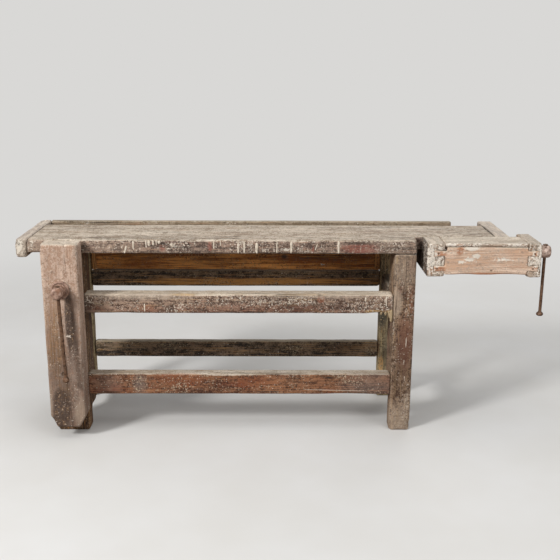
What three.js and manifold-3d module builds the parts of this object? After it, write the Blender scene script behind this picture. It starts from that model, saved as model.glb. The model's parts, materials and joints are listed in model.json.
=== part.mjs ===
import * as THREE from 'three';
import { mergeVertices } from 'three/addons/utils/BufferGeometryUtils.js';
import Module from 'manifold-3d';

// An old joiner's bench with a leg vise at the left and a tail vise at the right front corner.
// Sizes are in millimetres. X runs along the bench to the right, with 0 at the middle of the top plank,
// Y runs from the front edge of the top to the back, and Z runs up from the floor.

// Top
const benchHeight = 800;
const plankLength = 1846;
const plankWidth = 310;
const plankThickness = 57;
const leftCapWidth = 45;
const rightCapWidth = 62;
const capDrop = 15;
const tongueLength = 16;
const tongueThickness = 18;
const tongueInset = 30;
const notchLength = 323;
const notchDepth = 85;

// Tool tray along the back of the top
const trayWidth = 76;
const trayBottomThickness = 20;
const trayLap = 30;
const trayBackThickness = 25;
const trayBackBreak = 115;

// Legs
const viseLegInset = 79;
const viseLegWidth = 130;
const plainLegWidth = 86;
const frontLegDepth = 150;
const rearLegWidth = 85;
const rearLegDepth = 50;
const rearLeftLegInset = 2;
const rearRightLegInset = 10;
const footDepth = 70;
const viseFootHeight = 78;
const plainFootHeight = 128;
const legTenonHeight = 30;
const legTenonMargin = 24;

// Rails along the bench
const frontUpperRailBottom = 501;
const frontUpperRailHeight = 79;
const frontUpperRailThickness = 70;
const frontLowerRailBottom = 157;
const frontLowerRailHeight = 89;
const frontLowerRailThickness = 54;
const frontTenonThickness = 22;
const frontTenonLength = 48;
const rearUpperRailBottom = 513;
const rearUpperRailHeight = 72;
const rearLowerRailBottom = 184;
const rearLowerRailHeight = 76;
const rearRailThickness = 36;
const rearTenonThickness = 12;
const rearTenonLength = 34;
const tenonShoulder = 8;

// Side rails and top bearers, from front to back
const sideRailHeight = 66;
const sideRailThickness = 38;
const sideRailReveal = 4;
const sideTenonThickness = 14;
const sideFrontTenonLength = 30;
const sideRearTenonLength = 14;
const lowerSideRailLift = 14;
const bearerHeight = 45;
const bearerWidth = 60;
const bearerInset = 6;
const bearerStubHeight = 14;
const bearerStubWidth = 24;

// Rear apron between its two cleats
const apronThickness = 22;
const cleatWidth = 27;
const cleatThickness = 34;
const cleatGrooveDepth = 10;

// Leg vise
const legScrewDrop = 178;
const legScrewDiameter = 32;
const chopThickness = 89;
const chopOverhang = 6;
const chopBottom = 47;
const chopClipWidth = 28;
const chopClipHeight = 52;
const legRosetteDiameter = 72;
const legRosetteThickness = 8;
const legHubDiameter = 47;
const legHubLength = 52;
const legBarDiameter = 14;
const legBarHang = 362;
const legBarTiltDegrees = 1.9;
const legKnobDiameter = 26;
const legKnobHeight = 22;
const legNutFlange = 84;
const legNutFlangeThickness = 10;
const legNutBossDiameter = 56;
const legNutLength = 40;
const legNutBoltSpacing = 60;
const rearClearance = 16;
const guideWidth = 34;
const guideHeight = 50;
const guideBelowRail = 20;
const guideTenonLength = 60;
const guidePegDiameter = 10;
const stopPinDiameter = 12;
const stopPinLength = 84;
const stopPinSetback = 25;

// Tail vise
const viseProud = 52;
const tailOpening = 29;
const tailTravel = 130;
const jawLength = 69;
const jawHeight = 132;
const jawTongueThickness = 30;
const jawTongueMargin = 70;
const jawTongueTenonLength = 24;
const frontBoardThickness = 30;
const frontBoardDrop = 124;
const frontBoardNotchWidth = 8;
const frontBoardNotchHeight = 22;
const topBoardThickness = 14;
const endBlockLength = 53;
const endBlockHeight = 135;
const endClearance = 6;
const dovetailLength = 42;
const dovetailRoot = 19;
const dovetailFlare = 4;
const upperDovetailDrop = 40;
const lowerDovetailDrop = 99;
const nailHeadDiameter = 8;
const nailHeadHeight = 2;
const nailShankDiameter = 4;
const nailLength = 48;
const jawNailShares = [0.6, 0.7];
const endNailShares = [0.6, 0.5];
const tailScrewDrop = 46;
const tailScrewSetback = 20;
const tailScrewDiameter = 28;
const tailRosetteDiameter = 58;
const tailRosetteThickness = 4;
const tailHubDiameter = 51;
const tailHubLength = 41;
const tailBarDiameter = 13;
const tailBarHang = 264;
const tailKnobDiameter = 28;
const tailKnobHeight = 16;
const tailNutLength = 40;
const tailNutSetback = 35;
const tailNutRoom = 3;
const guideBarWidth = 36;
const guideBarHeight = 39;
const guideBarTenonLength = 30;
const guideBarEndGap = 6;
const endBlockMargin = 6;
const keeperWall = 12;
const keeperLength = 45;
const outerKeeperSetback = 10;
const innerKeeperRoom = 9;

// Screws and their fastenings, alike on both vises
const threadPitch = 10;
const threadDepth = 2.5;
const threadFootShare = 0.3;
const threadRiseShare = 0.45;
const threadCrestShare = 0.8;
const collarLength = 7;
const collarRim = 2;
const hubDome = 8;
const knobEase = 5;
const garterThickness = 8;
const garterMargin = 18;
const garterGroove = 4;
const garterScrewDiameter = 5;
const garterScrewLength = 26;
const garterScrewHead = 10;
const barHeadHeight = 5;
const barHeadRim = 2.5;
const barSpigotDiameter = 7;
const boltDiameter = 8;
const boltHeadDiameter = 14;
const boltHeadHeight = 6;
const boltBite = 45;
const collarSlopeShare = 0.7;
const knobLowerShare = 0.3;
const knobUpperShare = 0.6;

// Clearances and worn edges
const jointGap = 0.3;
const slipFit = 0.4;
const runningFit = 1;
const boreFit = 2;
const barHoleFit = 0.6;
const timberEase = 4;
const boardEase = 2.5;
const cutterOverrun = 60;
const weldTolerance = 1e-4;

// How finely round pieces are faceted
const roundSides = 24;
const rodSides = 16;
const smallSides = 8;
const threadSides = 8;
const hexSides = 6;

// Places worked out from the sizes above
const plankLeft = -plankLength / 2;
const plankRight = plankLength / 2;
const plankUnder = benchHeight - plankThickness;
const capUnder = plankUnder - capDrop;
const trayInner = plankWidth + trayWidth;
const topDepth = trayInner + trayBackThickness;
const trayTop = plankUnder - jointGap;
const trayUnder = trayTop - trayBottomThickness;
const notchX = plankRight - notchLength;
const viseLegLeft = plankLeft + viseLegInset;
const viseLegRight = viseLegLeft + viseLegWidth;
const plainLegRight = notchX;
const plainLegLeft = plainLegRight - plainLegWidth;
const rearLegFront = topDepth - rearLegDepth;
const rearLeftOuter = viseLegLeft + rearLeftLegInset;
const rearRightOuter = plainLegRight - rearRightLegInset;
const rearLeftInner = rearLeftOuter + rearLegWidth;
const rearRightInner = rearRightOuter - rearLegWidth;
const rearMiddle = topDepth - rearLegDepth / 2;
const bearerUnder = plankUnder - jointGap - bearerHeight;
const legScrewHeight = benchHeight - legScrewDrop;
const upperSideRailTop = legScrewHeight - legNutFlange / 2 - tenonShoulder / 2;
const lowerSideRailBottom = frontLowerRailBottom + lowerSideRailLift;
const apronBottom = rearUpperRailBottom + rearUpperRailHeight + jointGap;

// Leg vise places: the screw stands square to the middle of the wide leg
const legScrewX = viseLegLeft + viseLegWidth / 2;
const chopLeft = viseLegLeft - chopOverhang;
const chopRight = viseLegRight + chopOverhang;
const chopBack = -runningFit;
const chopFront = chopBack - chopThickness;
const legHubBack = chopFront - legRosetteThickness - 2 * jointGap;
const legHubFront = legHubBack - collarLength - legHubLength;
const legBarY = legHubBack - collarLength - legHubLength / 2;
const legTipY = rearLegFront - rearClearance;
const guideTop = frontLowerRailBottom - guideBelowRail;
const guideMiddle = guideTop - guideHeight / 2;
const stopPinY = legTipY - stopPinSetback;

// Tail vise places at the opening it rests with
const jawLeft = notchX + tailOpening;
const jawRight = jawLeft + jawLength;
const endBlockLeft = plankRight + rightCapWidth + tailOpening + endClearance;
const endBlockRight = endBlockLeft + endBlockLength;
const viseFront = -viseProud;
const viseBack = notchDepth - runningFit;
const frontBoardBack = viseFront + frontBoardThickness;
const frontBoardTop = benchHeight - topBoardThickness - jointGap;
const tailScrewZ = benchHeight - tailScrewDrop;
const tailHubLeft = endBlockRight + tailRosetteThickness + 2 * jointGap;
const tailHubRight = tailHubLeft + collarLength + tailHubLength;
const tailBarX = tailHubLeft + collarLength + tailHubLength / 2;
const tailTipX = jawRight + garterMargin;
const tailNutRight = plankRight - tailNutSetback;
const tailNutLeft = tailNutRight - tailNutLength;
const tailNutTop = frontBoardTop - tailNutRoom;
const tailNutFront = tailScrewSetback - tailScrewDiameter;
const tailNutBoltZ = tailScrewZ + tailScrewDiameter / 2 + boltDiameter;
const keeperFront = notchDepth + runningFit;
const guideBarFront = keeperFront + keeperWall + runningFit;
const guideBarBack = guideBarFront + guideBarWidth;
const guideBarTop = capUnder - 2 * runningFit;
const guideBarUnder = guideBarTop - guideBarHeight;
const endBlockBack = guideBarBack + endBlockMargin;
const jawTongueBack = guideBarBack + jawTongueMargin;
const innerKeeperLeft = jawLeft + jawTongueThickness + tailTravel + innerKeeperRoom;

// Solids

const wasm = await Module();
wasm.setup();

/** Welds a geometry's corners, drops its empty triangles and turns its faces outwards. */
function welded(geometry) {
  const bare = new THREE.BufferGeometry();
  bare.setAttribute('position', geometry.getAttribute('position'));
  bare.setIndex(geometry.getIndex());
  const skin = mergeVertices(bare, weldTolerance);
  const points = skin.getAttribute('position');
  const corners = skin.getIndex().array;
  const [a, b, c] = [new THREE.Vector3(), new THREE.Vector3(), new THREE.Vector3()];
  const triangles = [];
  let volume = 0;
  for (let i = 0; i < corners.length; i += 3) {
    const [p, q, r] = [corners[i], corners[i + 1], corners[i + 2]];
    if (p === q || q === r || r === p) continue;
    triangles.push([p, q, r]);
    a.fromBufferAttribute(points, p);
    b.fromBufferAttribute(points, q);
    c.fromBufferAttribute(points, r);
    volume += a.dot(b.cross(c));
  }
  const facing = volume > 0 ? triangles : triangles.map(([p, q, r]) => [p, r, q]);
  skin.setIndex(facing.flat());
  return skin;
}

/** A geometry as a solid that can be cut and joined. */
function solidOf(geometry) {
  const skin = welded(geometry);
  return new wasm.Manifold(new wasm.Mesh({
    numProp: 3,
    vertProperties: new Float32Array(skin.getAttribute('position').array),
    triVerts: new Uint32Array(skin.getIndex().array),
  }));
}

/** A solid as a geometry. */
function geometryOf(solid) {
  const mesh = solid.getMesh();
  const geometry = new THREE.BufferGeometry();
  geometry.setAttribute('position', new THREE.BufferAttribute(new Float32Array(mesh.vertProperties), 3));
  geometry.setIndex(new THREE.BufferAttribute(new Uint32Array(mesh.triVerts), 1));
  return geometry;
}

/** The first geometry joined with the others. */
function join(first, ...others) {
  return geometryOf(others.reduce((solid, other) => solid.add(solidOf(other)), solidOf(first)));
}

/** A geometry with the others taken out of it. */
function cut(body, ...tools) {
  return geometryOf(tools.reduce((solid, tool) => solid.subtract(solidOf(tool)), solidOf(body)));
}

/** The box between two corners, given as pairs along X, Y and Z. */
function span([x0, x1], [y0, y1], [z0, z1]) {
  return new THREE.Box3(new THREE.Vector3(x0, y0, z0), new THREE.Vector3(x1, y1, z1));
}

/** A pair of places half a width to each side of a middle. */
function about(middle, width) {
  return [middle - width / 2, middle + width / 2];
}

/** A square-edged block filling a box, larger by a clearance on every side. */
function block(box, clearance = 0) {
  const room = box.clone().expandByScalar(clearance);
  const size = room.getSize(new THREE.Vector3());
  const middle = room.getCenter(new THREE.Vector3());
  return new THREE.BoxGeometry(size.x, size.y, size.z).translate(middle.x, middle.y, middle.z);
}

// The three ways an outline is drawn: from above, from the front and from the side.
const views = {
  top: new THREE.Matrix4(),
  front: new THREE.Matrix4().makeBasis(
    new THREE.Vector3(1, 0, 0), new THREE.Vector3(0, 0, 1), new THREE.Vector3(0, -1, 0)),
  side: new THREE.Matrix4().makeBasis(
    new THREE.Vector3(0, 1, 0), new THREE.Vector3(0, 0, 1), new THREE.Vector3(1, 0, 0)),
};

/** A board with the given outline, between two places across the view, its edges eased. */
function board(view, outline, [near, far], ease = 0) {
  const shape = new THREE.Shape(outline.map(([x, y]) => new THREE.Vector2(x, y)));
  const geometry = new THREE.ExtrudeGeometry(shape, {
    depth: far - near - 2 * ease,
    bevelEnabled: ease > 0,
    bevelThickness: ease,
    bevelSize: ease,
    bevelOffset: -ease,
    bevelSegments: 1,
  });
  geometry.translate(0, 0, (view === 'front' ? -far : near) + ease);
  return geometry.applyMatrix4(views[view]);
}

/** A rectangle with its corners eased, as an outline. */
function easedRectangle([x0, x1], [y0, y1], ease) {
  return [
    [x0 + ease, y0], [x1 - ease, y0], [x1, y0 + ease], [x1, y1 - ease],
    [x1 - ease, y1], [x0 + ease, y1], [x0, y1 - ease], [x0, y0 + ease],
  ];
}

/** A sawn timber filling a box, with every edge eased. */
function timber(box, ease = timberEase) {
  const { min, max } = box;
  return board('top', easedRectangle([min.x, max.x], [min.y, max.y], ease), [min.z, max.z], ease);
}

/** A round piece turned about one axis; its profile is pairs of radius and place along the axis. */
function turned(axis, profile, sides = roundSides) {
  const points = profile.map(([radius, place]) => new THREE.Vector2(radius, place));
  const geometry = new THREE.LatheGeometry(points, sides);
  if (axis === 'x') geometry.rotateZ(-Math.PI / 2);
  if (axis === 'z') geometry.rotateX(Math.PI / 2);
  return geometry;
}

/** A plain rod along an axis between two places, centred on a point. */
function rod(axis, [from, to], diameter, centre, sides = rodSides) {
  const radius = diameter / 2;
  return turned(axis, [[0, from], [radius, from], [radius, to], [0, to]], sides).translate(...centre);
}

/** A cutter for a round hole whose flats lie at the given diameter. */
function bore(axis, reach, diameter, centre, sides = rodSides) {
  return rod(axis, reach, diameter / Math.cos(Math.PI / sides), centre, sides);
}

/** A round plate with a hole, its outer rim rounded off on the side away from its seat. */
function ring(axis, [seat, face], outerDiameter, holeDiameter, rim, sides = roundSides) {
  const [outer, hole] = [outerDiameter / 2, holeDiameter / 2];
  const inward = Math.sign(seat - face) * rim;
  return turned(axis, [
    [hole, seat], [outer, seat], [outer, face + inward], [outer - rim, face], [hole, face], [hole, seat],
  ], sides);
}

/** A right-hand helical ridge along Y between two places, with its core filled in. */
function threadRidge([from, to], diameter) {
  const crest = diameter / 2;
  const root = crest - threadDepth;
  const rowRadii = [root, root, crest, crest];
  const rowPlaces = [0, threadFootShare, threadRiseShare, threadCrestShare];
  const turns = Math.floor((to - from) / threadPitch) - 1;
  const rows = turns * rowRadii.length + 1;
  const points = [];
  for (let row = 0; row < rows + rowRadii.length; row += 1) {
    const kind = row % rowRadii.length;
    const start = from + (Math.floor(row / rowRadii.length) + rowPlaces[kind]) * threadPitch;
    for (let side = 0; side < threadSides; side += 1) {
      const turn = side / threadSides;
      const angle = 2 * Math.PI * turn;
      const radius = rowRadii[kind];
      points.push(radius * Math.sin(angle), start + turn * threadPitch, radius * Math.cos(angle));
    }
  }
  const at = (row, side) => (side < threadSides
    ? row * threadSides + side
    : (row + rowRadii.length) * threadSides + side - threadSides);
  const triangles = [];
  for (let row = 0; row < rows - 1; row += 1) {
    for (let side = 0; side < threadSides; side += 1) {
      const [p, q] = [at(row, side), at(row, side + 1)];
      const [r, s] = [at(row + 1, side + 1), at(row + 1, side)];
      triangles.push(p, q, r, p, r, s);
    }
  }
  for (const [row, place, flip] of [[0, from, true], [rows - 1, to - threadPitch, false]]) {
    const loop = [];
    for (let side = 0; side < threadSides; side += 1) loop.push(at(row, side));
    for (let step = rowRadii.length; step > 0; step -= 1) loop.push(at(row + step, 0));
    const tip = points.length / 3;
    points.push(0, place + threadPitch / 2, 0);
    loop.forEach((corner, i) => {
      const next = loop[(i + 1) % loop.length];
      triangles.push(tip, flip ? next : corner, flip ? corner : next);
    });
  }
  const geometry = new THREE.BufferGeometry();
  geometry.setAttribute('position', new THREE.Float32BufferAttribute(points, 3));
  geometry.setIndex(triangles);
  return geometry;
}

// Finishes

/** Old timber of one colour. */
function wood(colour) {
  return new THREE.MeshStandardMaterial({ color: colour, roughness: 0.85, metalness: 0 });
}

/** Rusted forged iron. */
function iron(colour = '#6f5546') {
  return new THREE.MeshStandardMaterial({ color: colour, roughness: 0.7, metalness: 0.6 });
}

const wornTop = '#b5a897';
const paintedBeech = '#71605a';
const redBeech = '#7d5b4b';
const darkBeech = '#3a322b';
const paleBeech = '#b79f8d';
const rawPine = '#74492a';

const frame = new THREE.Group();
const legVise = new THREE.Group();
const legSpindle = new THREE.Group();
const tailVise = new THREE.Group();
const tailSpindle = new THREE.Group();
legVise.add(legSpindle);
tailVise.add(tailSpindle);

/** Adds one named piece to a group, at a place. */
function piece(group, name, geometry, material, place = [0, 0, 0]) {
  const mesh = new THREE.Mesh(welded(geometry), material);
  mesh.name = name;
  mesh.position.set(...place);
  group.add(mesh);
}

/** A hexagon-headed bolt along Y: its head in front of or behind a place, its shank the other way. */
function bolt(group, name, [x, y, z], length, headSide) {
  const head = boltHeadDiameter / 2;
  const top = headSide * boltHeadHeight;
  const reach = [top / 2, -headSide * length].sort((p, q) => p - q);
  const geometry = join(
    turned('y', [[0, 0], [head, 0], [head, top], [0, top]], hexSides),
    rod('y', reach, boltDiameter, [0, 0, 0], smallSides),
  );
  piece(group, name, geometry, iron(), [x, y + headSide * jointGap, z]);
}

/** A hole for a bolt's shank along Y. */
function boltHole([x, , z], reach) {
  return bore('y', reach, boltDiameter + 2 * slipFit, [x, 0, z], smallSides);
}

// Rails, tenoned at both ends

const frontRails = [
  { bottom: frontUpperRailBottom, height: frontUpperRailHeight, thickness: frontUpperRailThickness },
  { bottom: frontLowerRailBottom, height: frontLowerRailHeight, thickness: frontLowerRailThickness },
].map(({ bottom, height, thickness }) => ({
  body: span([viseLegRight + jointGap, plainLegLeft - jointGap], [0, thickness], [bottom, bottom + height]),
  tenon: span(
    [viseLegRight - frontTenonLength, plainLegLeft + frontTenonLength],
    about(thickness / 2, frontTenonThickness),
    [bottom + tenonShoulder, bottom + height - tenonShoulder]),
}));

const rearRails = [
  { bottom: rearUpperRailBottom, height: rearUpperRailHeight },
  { bottom: rearLowerRailBottom, height: rearLowerRailHeight },
].map(({ bottom, height }) => ({
  body: span([rearLeftInner + jointGap, rearRightInner - jointGap], about(rearMiddle, rearRailThickness),
    [bottom, bottom + height]),
  tenon: span(
    [rearLeftInner - rearTenonLength, rearRightInner + rearTenonLength],
    about(rearMiddle, rearTenonThickness),
    [bottom + tenonShoulder, bottom + height - tenonShoulder]),
}));

/** The side rails at one end: the upper near the rear leg's inner face, the lower near its outer one. */
function sideRails(inner, outer) {
  const inset = Math.sign(outer - inner) * (sideRailReveal + sideRailThickness / 2);
  const along = [frontLegDepth + jointGap, rearLegFront - jointGap];
  return [
    { middle: inner + inset, bottom: upperSideRailTop - sideRailHeight },
    { middle: outer - inset, bottom: lowerSideRailBottom },
  ].map(({ middle, bottom }) => ({
    body: span(about(middle, sideRailThickness), along, [bottom, bottom + sideRailHeight]),
    tenon: span(about(middle, sideTenonThickness),
      [frontLegDepth - sideFrontTenonLength, rearLegFront + sideRearTenonLength],
      [bottom + tenonShoulder, bottom + sideRailHeight - tenonShoulder]),
  }));
}

const leftSideRails = sideRails(rearLeftInner, rearLeftOuter);
const rightSideRails = sideRails(rearRightInner, rearRightOuter);

/** A rail with its tenons. */
function rail(name, { body, tenon }, colour) {
  piece(frame, name, join(timber(body), block(tenon)), wood(colour));
}

rail('front_upper_rail', frontRails[0], paintedBeech);
rail('front_lower_rail', frontRails[1], redBeech);
rail('rear_upper_rail', rearRails[0], darkBeech);
rail('rear_lower_rail', rearRails[1], darkBeech);
rail('left_upper_side_rail', leftSideRails[0], darkBeech);
rail('left_lower_side_rail', leftSideRails[1], darkBeech);
rail('right_upper_side_rail', rightSideRails[0], darkBeech);
rail('right_lower_side_rail', rightSideRails[1], darkBeech);

// Top bearers: stepped down at the back to carry the tray, stubbed into the front legs

/** The bearer on one side of the bench, with the stubs that fix it to both legs. */
function bearerOn(outer, inward) {
  const edges = [outer + inward * bearerInset, outer + inward * (bearerInset + bearerWidth)];
  const across = edges.sort((p, q) => p - q);
  const middle = (across[0] + across[1]) / 2;
  const under = bearerUnder + tenonShoulder;
  return {
    across,
    stub: span(about(middle, bearerStubWidth),
      [frontLegDepth - sideFrontTenonLength, frontLegDepth + tenonShoulder],
      [under, under + bearerStubHeight]),
    legStub: span(about(middle, bearerStubWidth), about(rearMiddle, bearerStubWidth),
      [bearerUnder - tenonShoulder, bearerUnder + bearerStubHeight]),
  };
}

const leftBearer = bearerOn(rearLeftOuter, 1);
const rightBearer = bearerOn(rearRightOuter, -1);

/** A bearer, stepped down behind the plank and mortised for the stub of the rear leg. */
function bearer(name, { across, stub, legStub }) {
  const front = frontLegDepth + jointGap;
  const step = plankWidth - trayLap - jointGap;
  const outline = [
    [front, bearerUnder], [topDepth, bearerUnder], [topDepth, trayUnder - jointGap],
    [step, trayUnder - jointGap], [step, trayTop], [front, trayTop],
  ];
  piece(frame, name, cut(join(board('side', outline, across), block(stub)), block(legStub, jointGap)),
    wood(darkBeech));
}

bearer('left_top_bearer', leftBearer);
bearer('right_top_bearer', rightBearer);

// Front legs, with a tenon up into the plank

const legTop = plankUnder - jointGap;
const frontLegSpans = [[viseLegLeft, viseLegRight], [plainLegLeft, plainLegRight]];
const frontLegTenons = frontLegSpans.map(([left, right]) => span(
  [left + legTenonMargin, right - legTenonMargin],
  [legTenonMargin, frontLegDepth - legTenonMargin],
  [legTop - legTenonMargin, legTop + legTenonHeight]));

/** A front leg before its own holes: cut back behind its foot, joined to its tenon and mortised. */
function frontLeg([left, right], footHeight, tenon, rails, carried) {
  const outline = [
    [0, 0], [footDepth, 0], [footDepth, footHeight], [frontLegDepth, footHeight],
    [frontLegDepth, legTop], [0, legTop],
  ];
  const body = join(board('side', outline, [left, right], timberEase), block(tenon));
  return cut(body, ...rails.map((each) => block(each.tenon, jointGap)), block(carried.stub, jointGap));
}

const legNutBolts = [-1, 1].flatMap((x) => [-1, 1].map((z) => [
  legScrewX + x * legNutBoltSpacing / 2,
  frontLegDepth + jointGap + legNutFlangeThickness,
  legScrewHeight + z * legNutBoltSpacing / 2,
]));

const viseLeg = frontLeg(frontLegSpans[0], viseFootHeight, frontLegTenons[0],
  [...frontRails, ...leftSideRails], leftBearer);
piece(frame, 'front_left_leg', cut(viseLeg,
  bore('y', [-cutterOverrun, frontLegDepth + cutterOverrun], legScrewDiameter + 2 * boreFit,
    [legScrewX, 0, legScrewHeight]),
  block(span(about(legScrewX, guideWidth), [-cutterOverrun, frontLegDepth + cutterOverrun],
    [guideTop - guideHeight, guideTop]), runningFit),
  ...legNutBolts.map((place) => boltHole(place, [frontLegDepth - boltBite, frontLegDepth + cutterOverrun])),
), wood(redBeech));
piece(frame, 'front_right_leg', frontLeg(frontLegSpans[1], plainFootHeight, frontLegTenons[1],
  [...frontRails, ...rightSideRails], rightBearer), wood(redBeech));

// Rear legs, with a stub up into the bearer

/** A rear leg with its stub, mortised for the rails that meet in it. */
function rearLeg(name, [left, right], rails, carried) {
  const body = join(
    timber(span([left, right], [rearLegFront, topDepth], [0, bearerUnder - jointGap])),
    block(carried.legStub));
  piece(frame, name, cut(body, ...rails.map((each) => block(each.tenon, jointGap))), wood(darkBeech));
}

rearLeg('rear_left_leg', [rearLeftOuter, rearLeftInner], [...rearRails, ...leftSideRails], leftBearer);
rearLeg('rear_right_leg', [rearRightInner, rearRightOuter], [...rearRails, ...rightSideRails],
  rightBearer);

// Rear apron, held at each end in a grooved cleat beside the leg

const apronTop = trayUnder - jointGap;
const apron = span(
  [rearLeftInner + cleatWidth - cleatGrooveDepth, rearRightInner - cleatWidth + cleatGrooveDepth],
  about(rearMiddle, apronThickness), [apronBottom, apronTop]);
piece(frame, 'rear_apron', timber(apron, boardEase), wood(rawPine));
for (const [name, left] of [
  ['left_apron_cleat', rearLeftInner + jointGap],
  ['right_apron_cleat', rearRightInner - jointGap - cleatWidth],
]) {
  const cleat = span([left, left + cleatWidth], about(rearMiddle, cleatThickness), [apronBottom, apronTop]);
  const groove = apron.clone();
  groove.min.z -= tenonShoulder;
  groove.max.z += tenonShoulder;
  piece(frame, name, cut(timber(cleat, boardEase), block(groove, jointGap)), wood(rawPine));
}

// Top plank with its notch, and the end caps on its tongues

const leftTongue = span([plankLeft - tongueLength, plankLeft + tongueInset],
  [tongueInset, plankWidth - tongueInset], about(benchHeight - plankThickness / 2, tongueThickness));
const rightTongue = span([plankRight - tongueInset, plankRight + tongueLength],
  [notchDepth + tongueInset, plankWidth - tongueInset],
  about(benchHeight - plankThickness / 2, tongueThickness));
const tailNutMiddle = (tailNutLeft + tailNutRight) / 2;
const tailNutBolts = about(tailNutMiddle, tailNutLength / 2 + boltDiameter)
  .map((x) => [x, tailNutFront, tailNutBoltZ]);
const plankOutline = [
  [plankLeft, 0], [notchX, 0], [notchX, notchDepth], [plankRight, notchDepth],
  [plankRight, plankWidth], [plankLeft, plankWidth],
];
const plainPlank = board('top', plankOutline, [plankUnder, benchHeight], timberEase);
piece(frame, 'top_plank', cut(
  join(plainPlank, block(leftTongue), block(rightTongue)),
  ...frontLegTenons.map((tenon) => block(tenon, jointGap)),
  ...tailNutBolts.map((place) => boltHole(place, [tailNutFront, notchDepth + boltBite])),
), wood(wornTop));

for (const [name, across, front, tongue] of [
  ['left_end_cap', [plankLeft - leftCapWidth, plankLeft - jointGap], 0, leftTongue],
  ['right_end_cap', [plankRight + jointGap, plankRight + rightCapWidth], notchDepth, rightTongue],
]) {
  const cap = timber(span(across, [front, topDepth], [capUnder, benchHeight]));
  piece(frame, name, cut(cap, block(tongue, jointGap)), wood(paintedBeech));
}

// Tool tray

piece(frame, 'tray_bottom', timber(span(
  [plankLeft + jointGap, plankRight - jointGap], [plankWidth - trayLap, trayInner - jointGap],
  [trayUnder, trayTop]), boardEase), wood(darkBeech));
piece(frame, 'tray_back', timber(span(
  [plankLeft + jointGap, plankRight - trayBackBreak], [trayInner, topDepth],
  [trayUnder, benchHeight]), boardEase), wood(wornTop));

// Leg vise

const chopOutline = [
  [chopLeft + chopClipWidth, chopBottom], [chopRight - chopClipWidth, chopBottom],
  [chopRight, chopBottom + chopClipHeight], [chopRight, benchHeight],
  [chopLeft, benchHeight], [chopLeft, chopBottom + chopClipHeight],
];
const legGarterPlate = legScrewDiameter + 2 * garterMargin;
const tailGarterPlate = tailScrewDiameter + 2 * garterMargin;
const garterRecess = garterThickness + 2 * jointGap;

/** A garter: a square plate lying across Z, slotted from below over the groove of its screw. */
function garterPlate(size, screwDiameter) {
  const slot = screwDiameter / 2 - garterGroove + jointGap;
  const outline = [
    [-size / 2, -size / 2], [-slot, -size / 2], [-slot, slot], [slot, slot],
    [slot, -size / 2], [size / 2, -size / 2], [size / 2, size / 2], [-size / 2, size / 2],
  ];
  const holes = [-1, 1].map((side) => bore('z', [-garterThickness, 2 * garterThickness],
    garterScrewDiameter + 2 * slipFit, [side * garterScrewReach(size), 0, 0], smallSides));
  return cut(board('top', outline, [0, garterThickness]), ...holes);
}

/** How far each garter screw stands from the middle of its plate. */
function garterScrewReach(size) {
  return size / 2 - garterMargin / 2;
}

/** A round-headed wood screw along Z, its head standing on 0 and its shank running down. */
function garterScrew() {
  const [head, shank] = [garterScrewHead / 2, garterScrewDiameter / 2];
  return turned('z', [
    [0, -garterScrewLength], [shank, -garterScrewLength + shank], [shank, 0], [head, 0],
    [head, shank / 2], [0, shank / 2],
  ], smallSides);
}

const garterHeadRoom = garterScrewDiameter / 4 + jointGap;
const garterFace = garterRecess + garterHeadRoom;
const legGarterBack = chopBack - garterFace;
const tailGarterBack = endBlockLeft + garterFace;

const guideTenon = span(about(legScrewX, guideWidth), [chopBack - guideTenonLength, chopBack],
  [guideTop - guideHeight, guideTop]);
const guidePegY = chopBack - guideTenonLength / 2;
piece(legVise, 'chop', cut(board('front', chopOutline, [chopFront, chopBack], timberEase),
  bore('y', [chopFront - cutterOverrun, cutterOverrun], legScrewDiameter + 2 * boreFit,
    [legScrewX, 0, legScrewHeight]),
  block(span(about(legScrewX, legGarterPlate), [legGarterBack, cutterOverrun],
    about(legScrewHeight, legGarterPlate)), jointGap),
  ...[-1, 1].map((side) => bore('y', [legGarterBack - garterScrewLength, 0],
    garterScrewDiameter + 2 * slipFit,
    [legScrewX + side * garterScrewReach(legGarterPlate), 0, legScrewHeight], smallSides)),
  block(guideTenon, jointGap),
  bore('x', [chopLeft - cutterOverrun, chopRight + cutterOverrun], guidePegDiameter + 2 * slipFit,
    [0, guidePegY, guideMiddle], smallSides),
), wood(paleBeech));
piece(legVise, 'parallel_guide', cut(timber(span(about(legScrewX, guideWidth),
  [chopBack - guideTenonLength, legTipY], [guideTop - guideHeight, guideTop]), boardEase),
  bore('x', about(legScrewX, 2 * guideWidth), guidePegDiameter + 2 * slipFit,
    [0, guidePegY, guideMiddle], smallSides),
  bore('x', about(legScrewX, 2 * guideWidth), stopPinDiameter + 2 * slipFit,
    [0, stopPinY, guideMiddle], rodSides),
), wood(redBeech));
piece(legVise, 'guide_peg', rod('x', [chopLeft, chopRight], guidePegDiameter, [0, 0, 0], smallSides),
  wood(paleBeech), [0, guidePegY, guideMiddle]);
piece(legVise, 'guide_stop_pin', rod('x', about(legScrewX, stopPinLength), stopPinDiameter, [0, 0, 0]),
  iron(), [0, stopPinY, guideMiddle]);
piece(legVise, 'leg_rosette', ring('y', [chopFront - jointGap, chopFront - jointGap - legRosetteThickness],
  legRosetteDiameter, legScrewDiameter + 2 * boreFit, legRosetteThickness / 2), iron(),
[legScrewX, 0, legScrewHeight]);

/** Lays a piece that was drawn along Z so that Z points to the back of the bench, its slot still down. */
function facingBack(geometry) {
  return geometry.applyMatrix4(new THREE.Matrix4().makeBasis(
    new THREE.Vector3(-1, 0, 0), new THREE.Vector3(0, 0, 1), new THREE.Vector3(0, 1, 0)));
}

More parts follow.
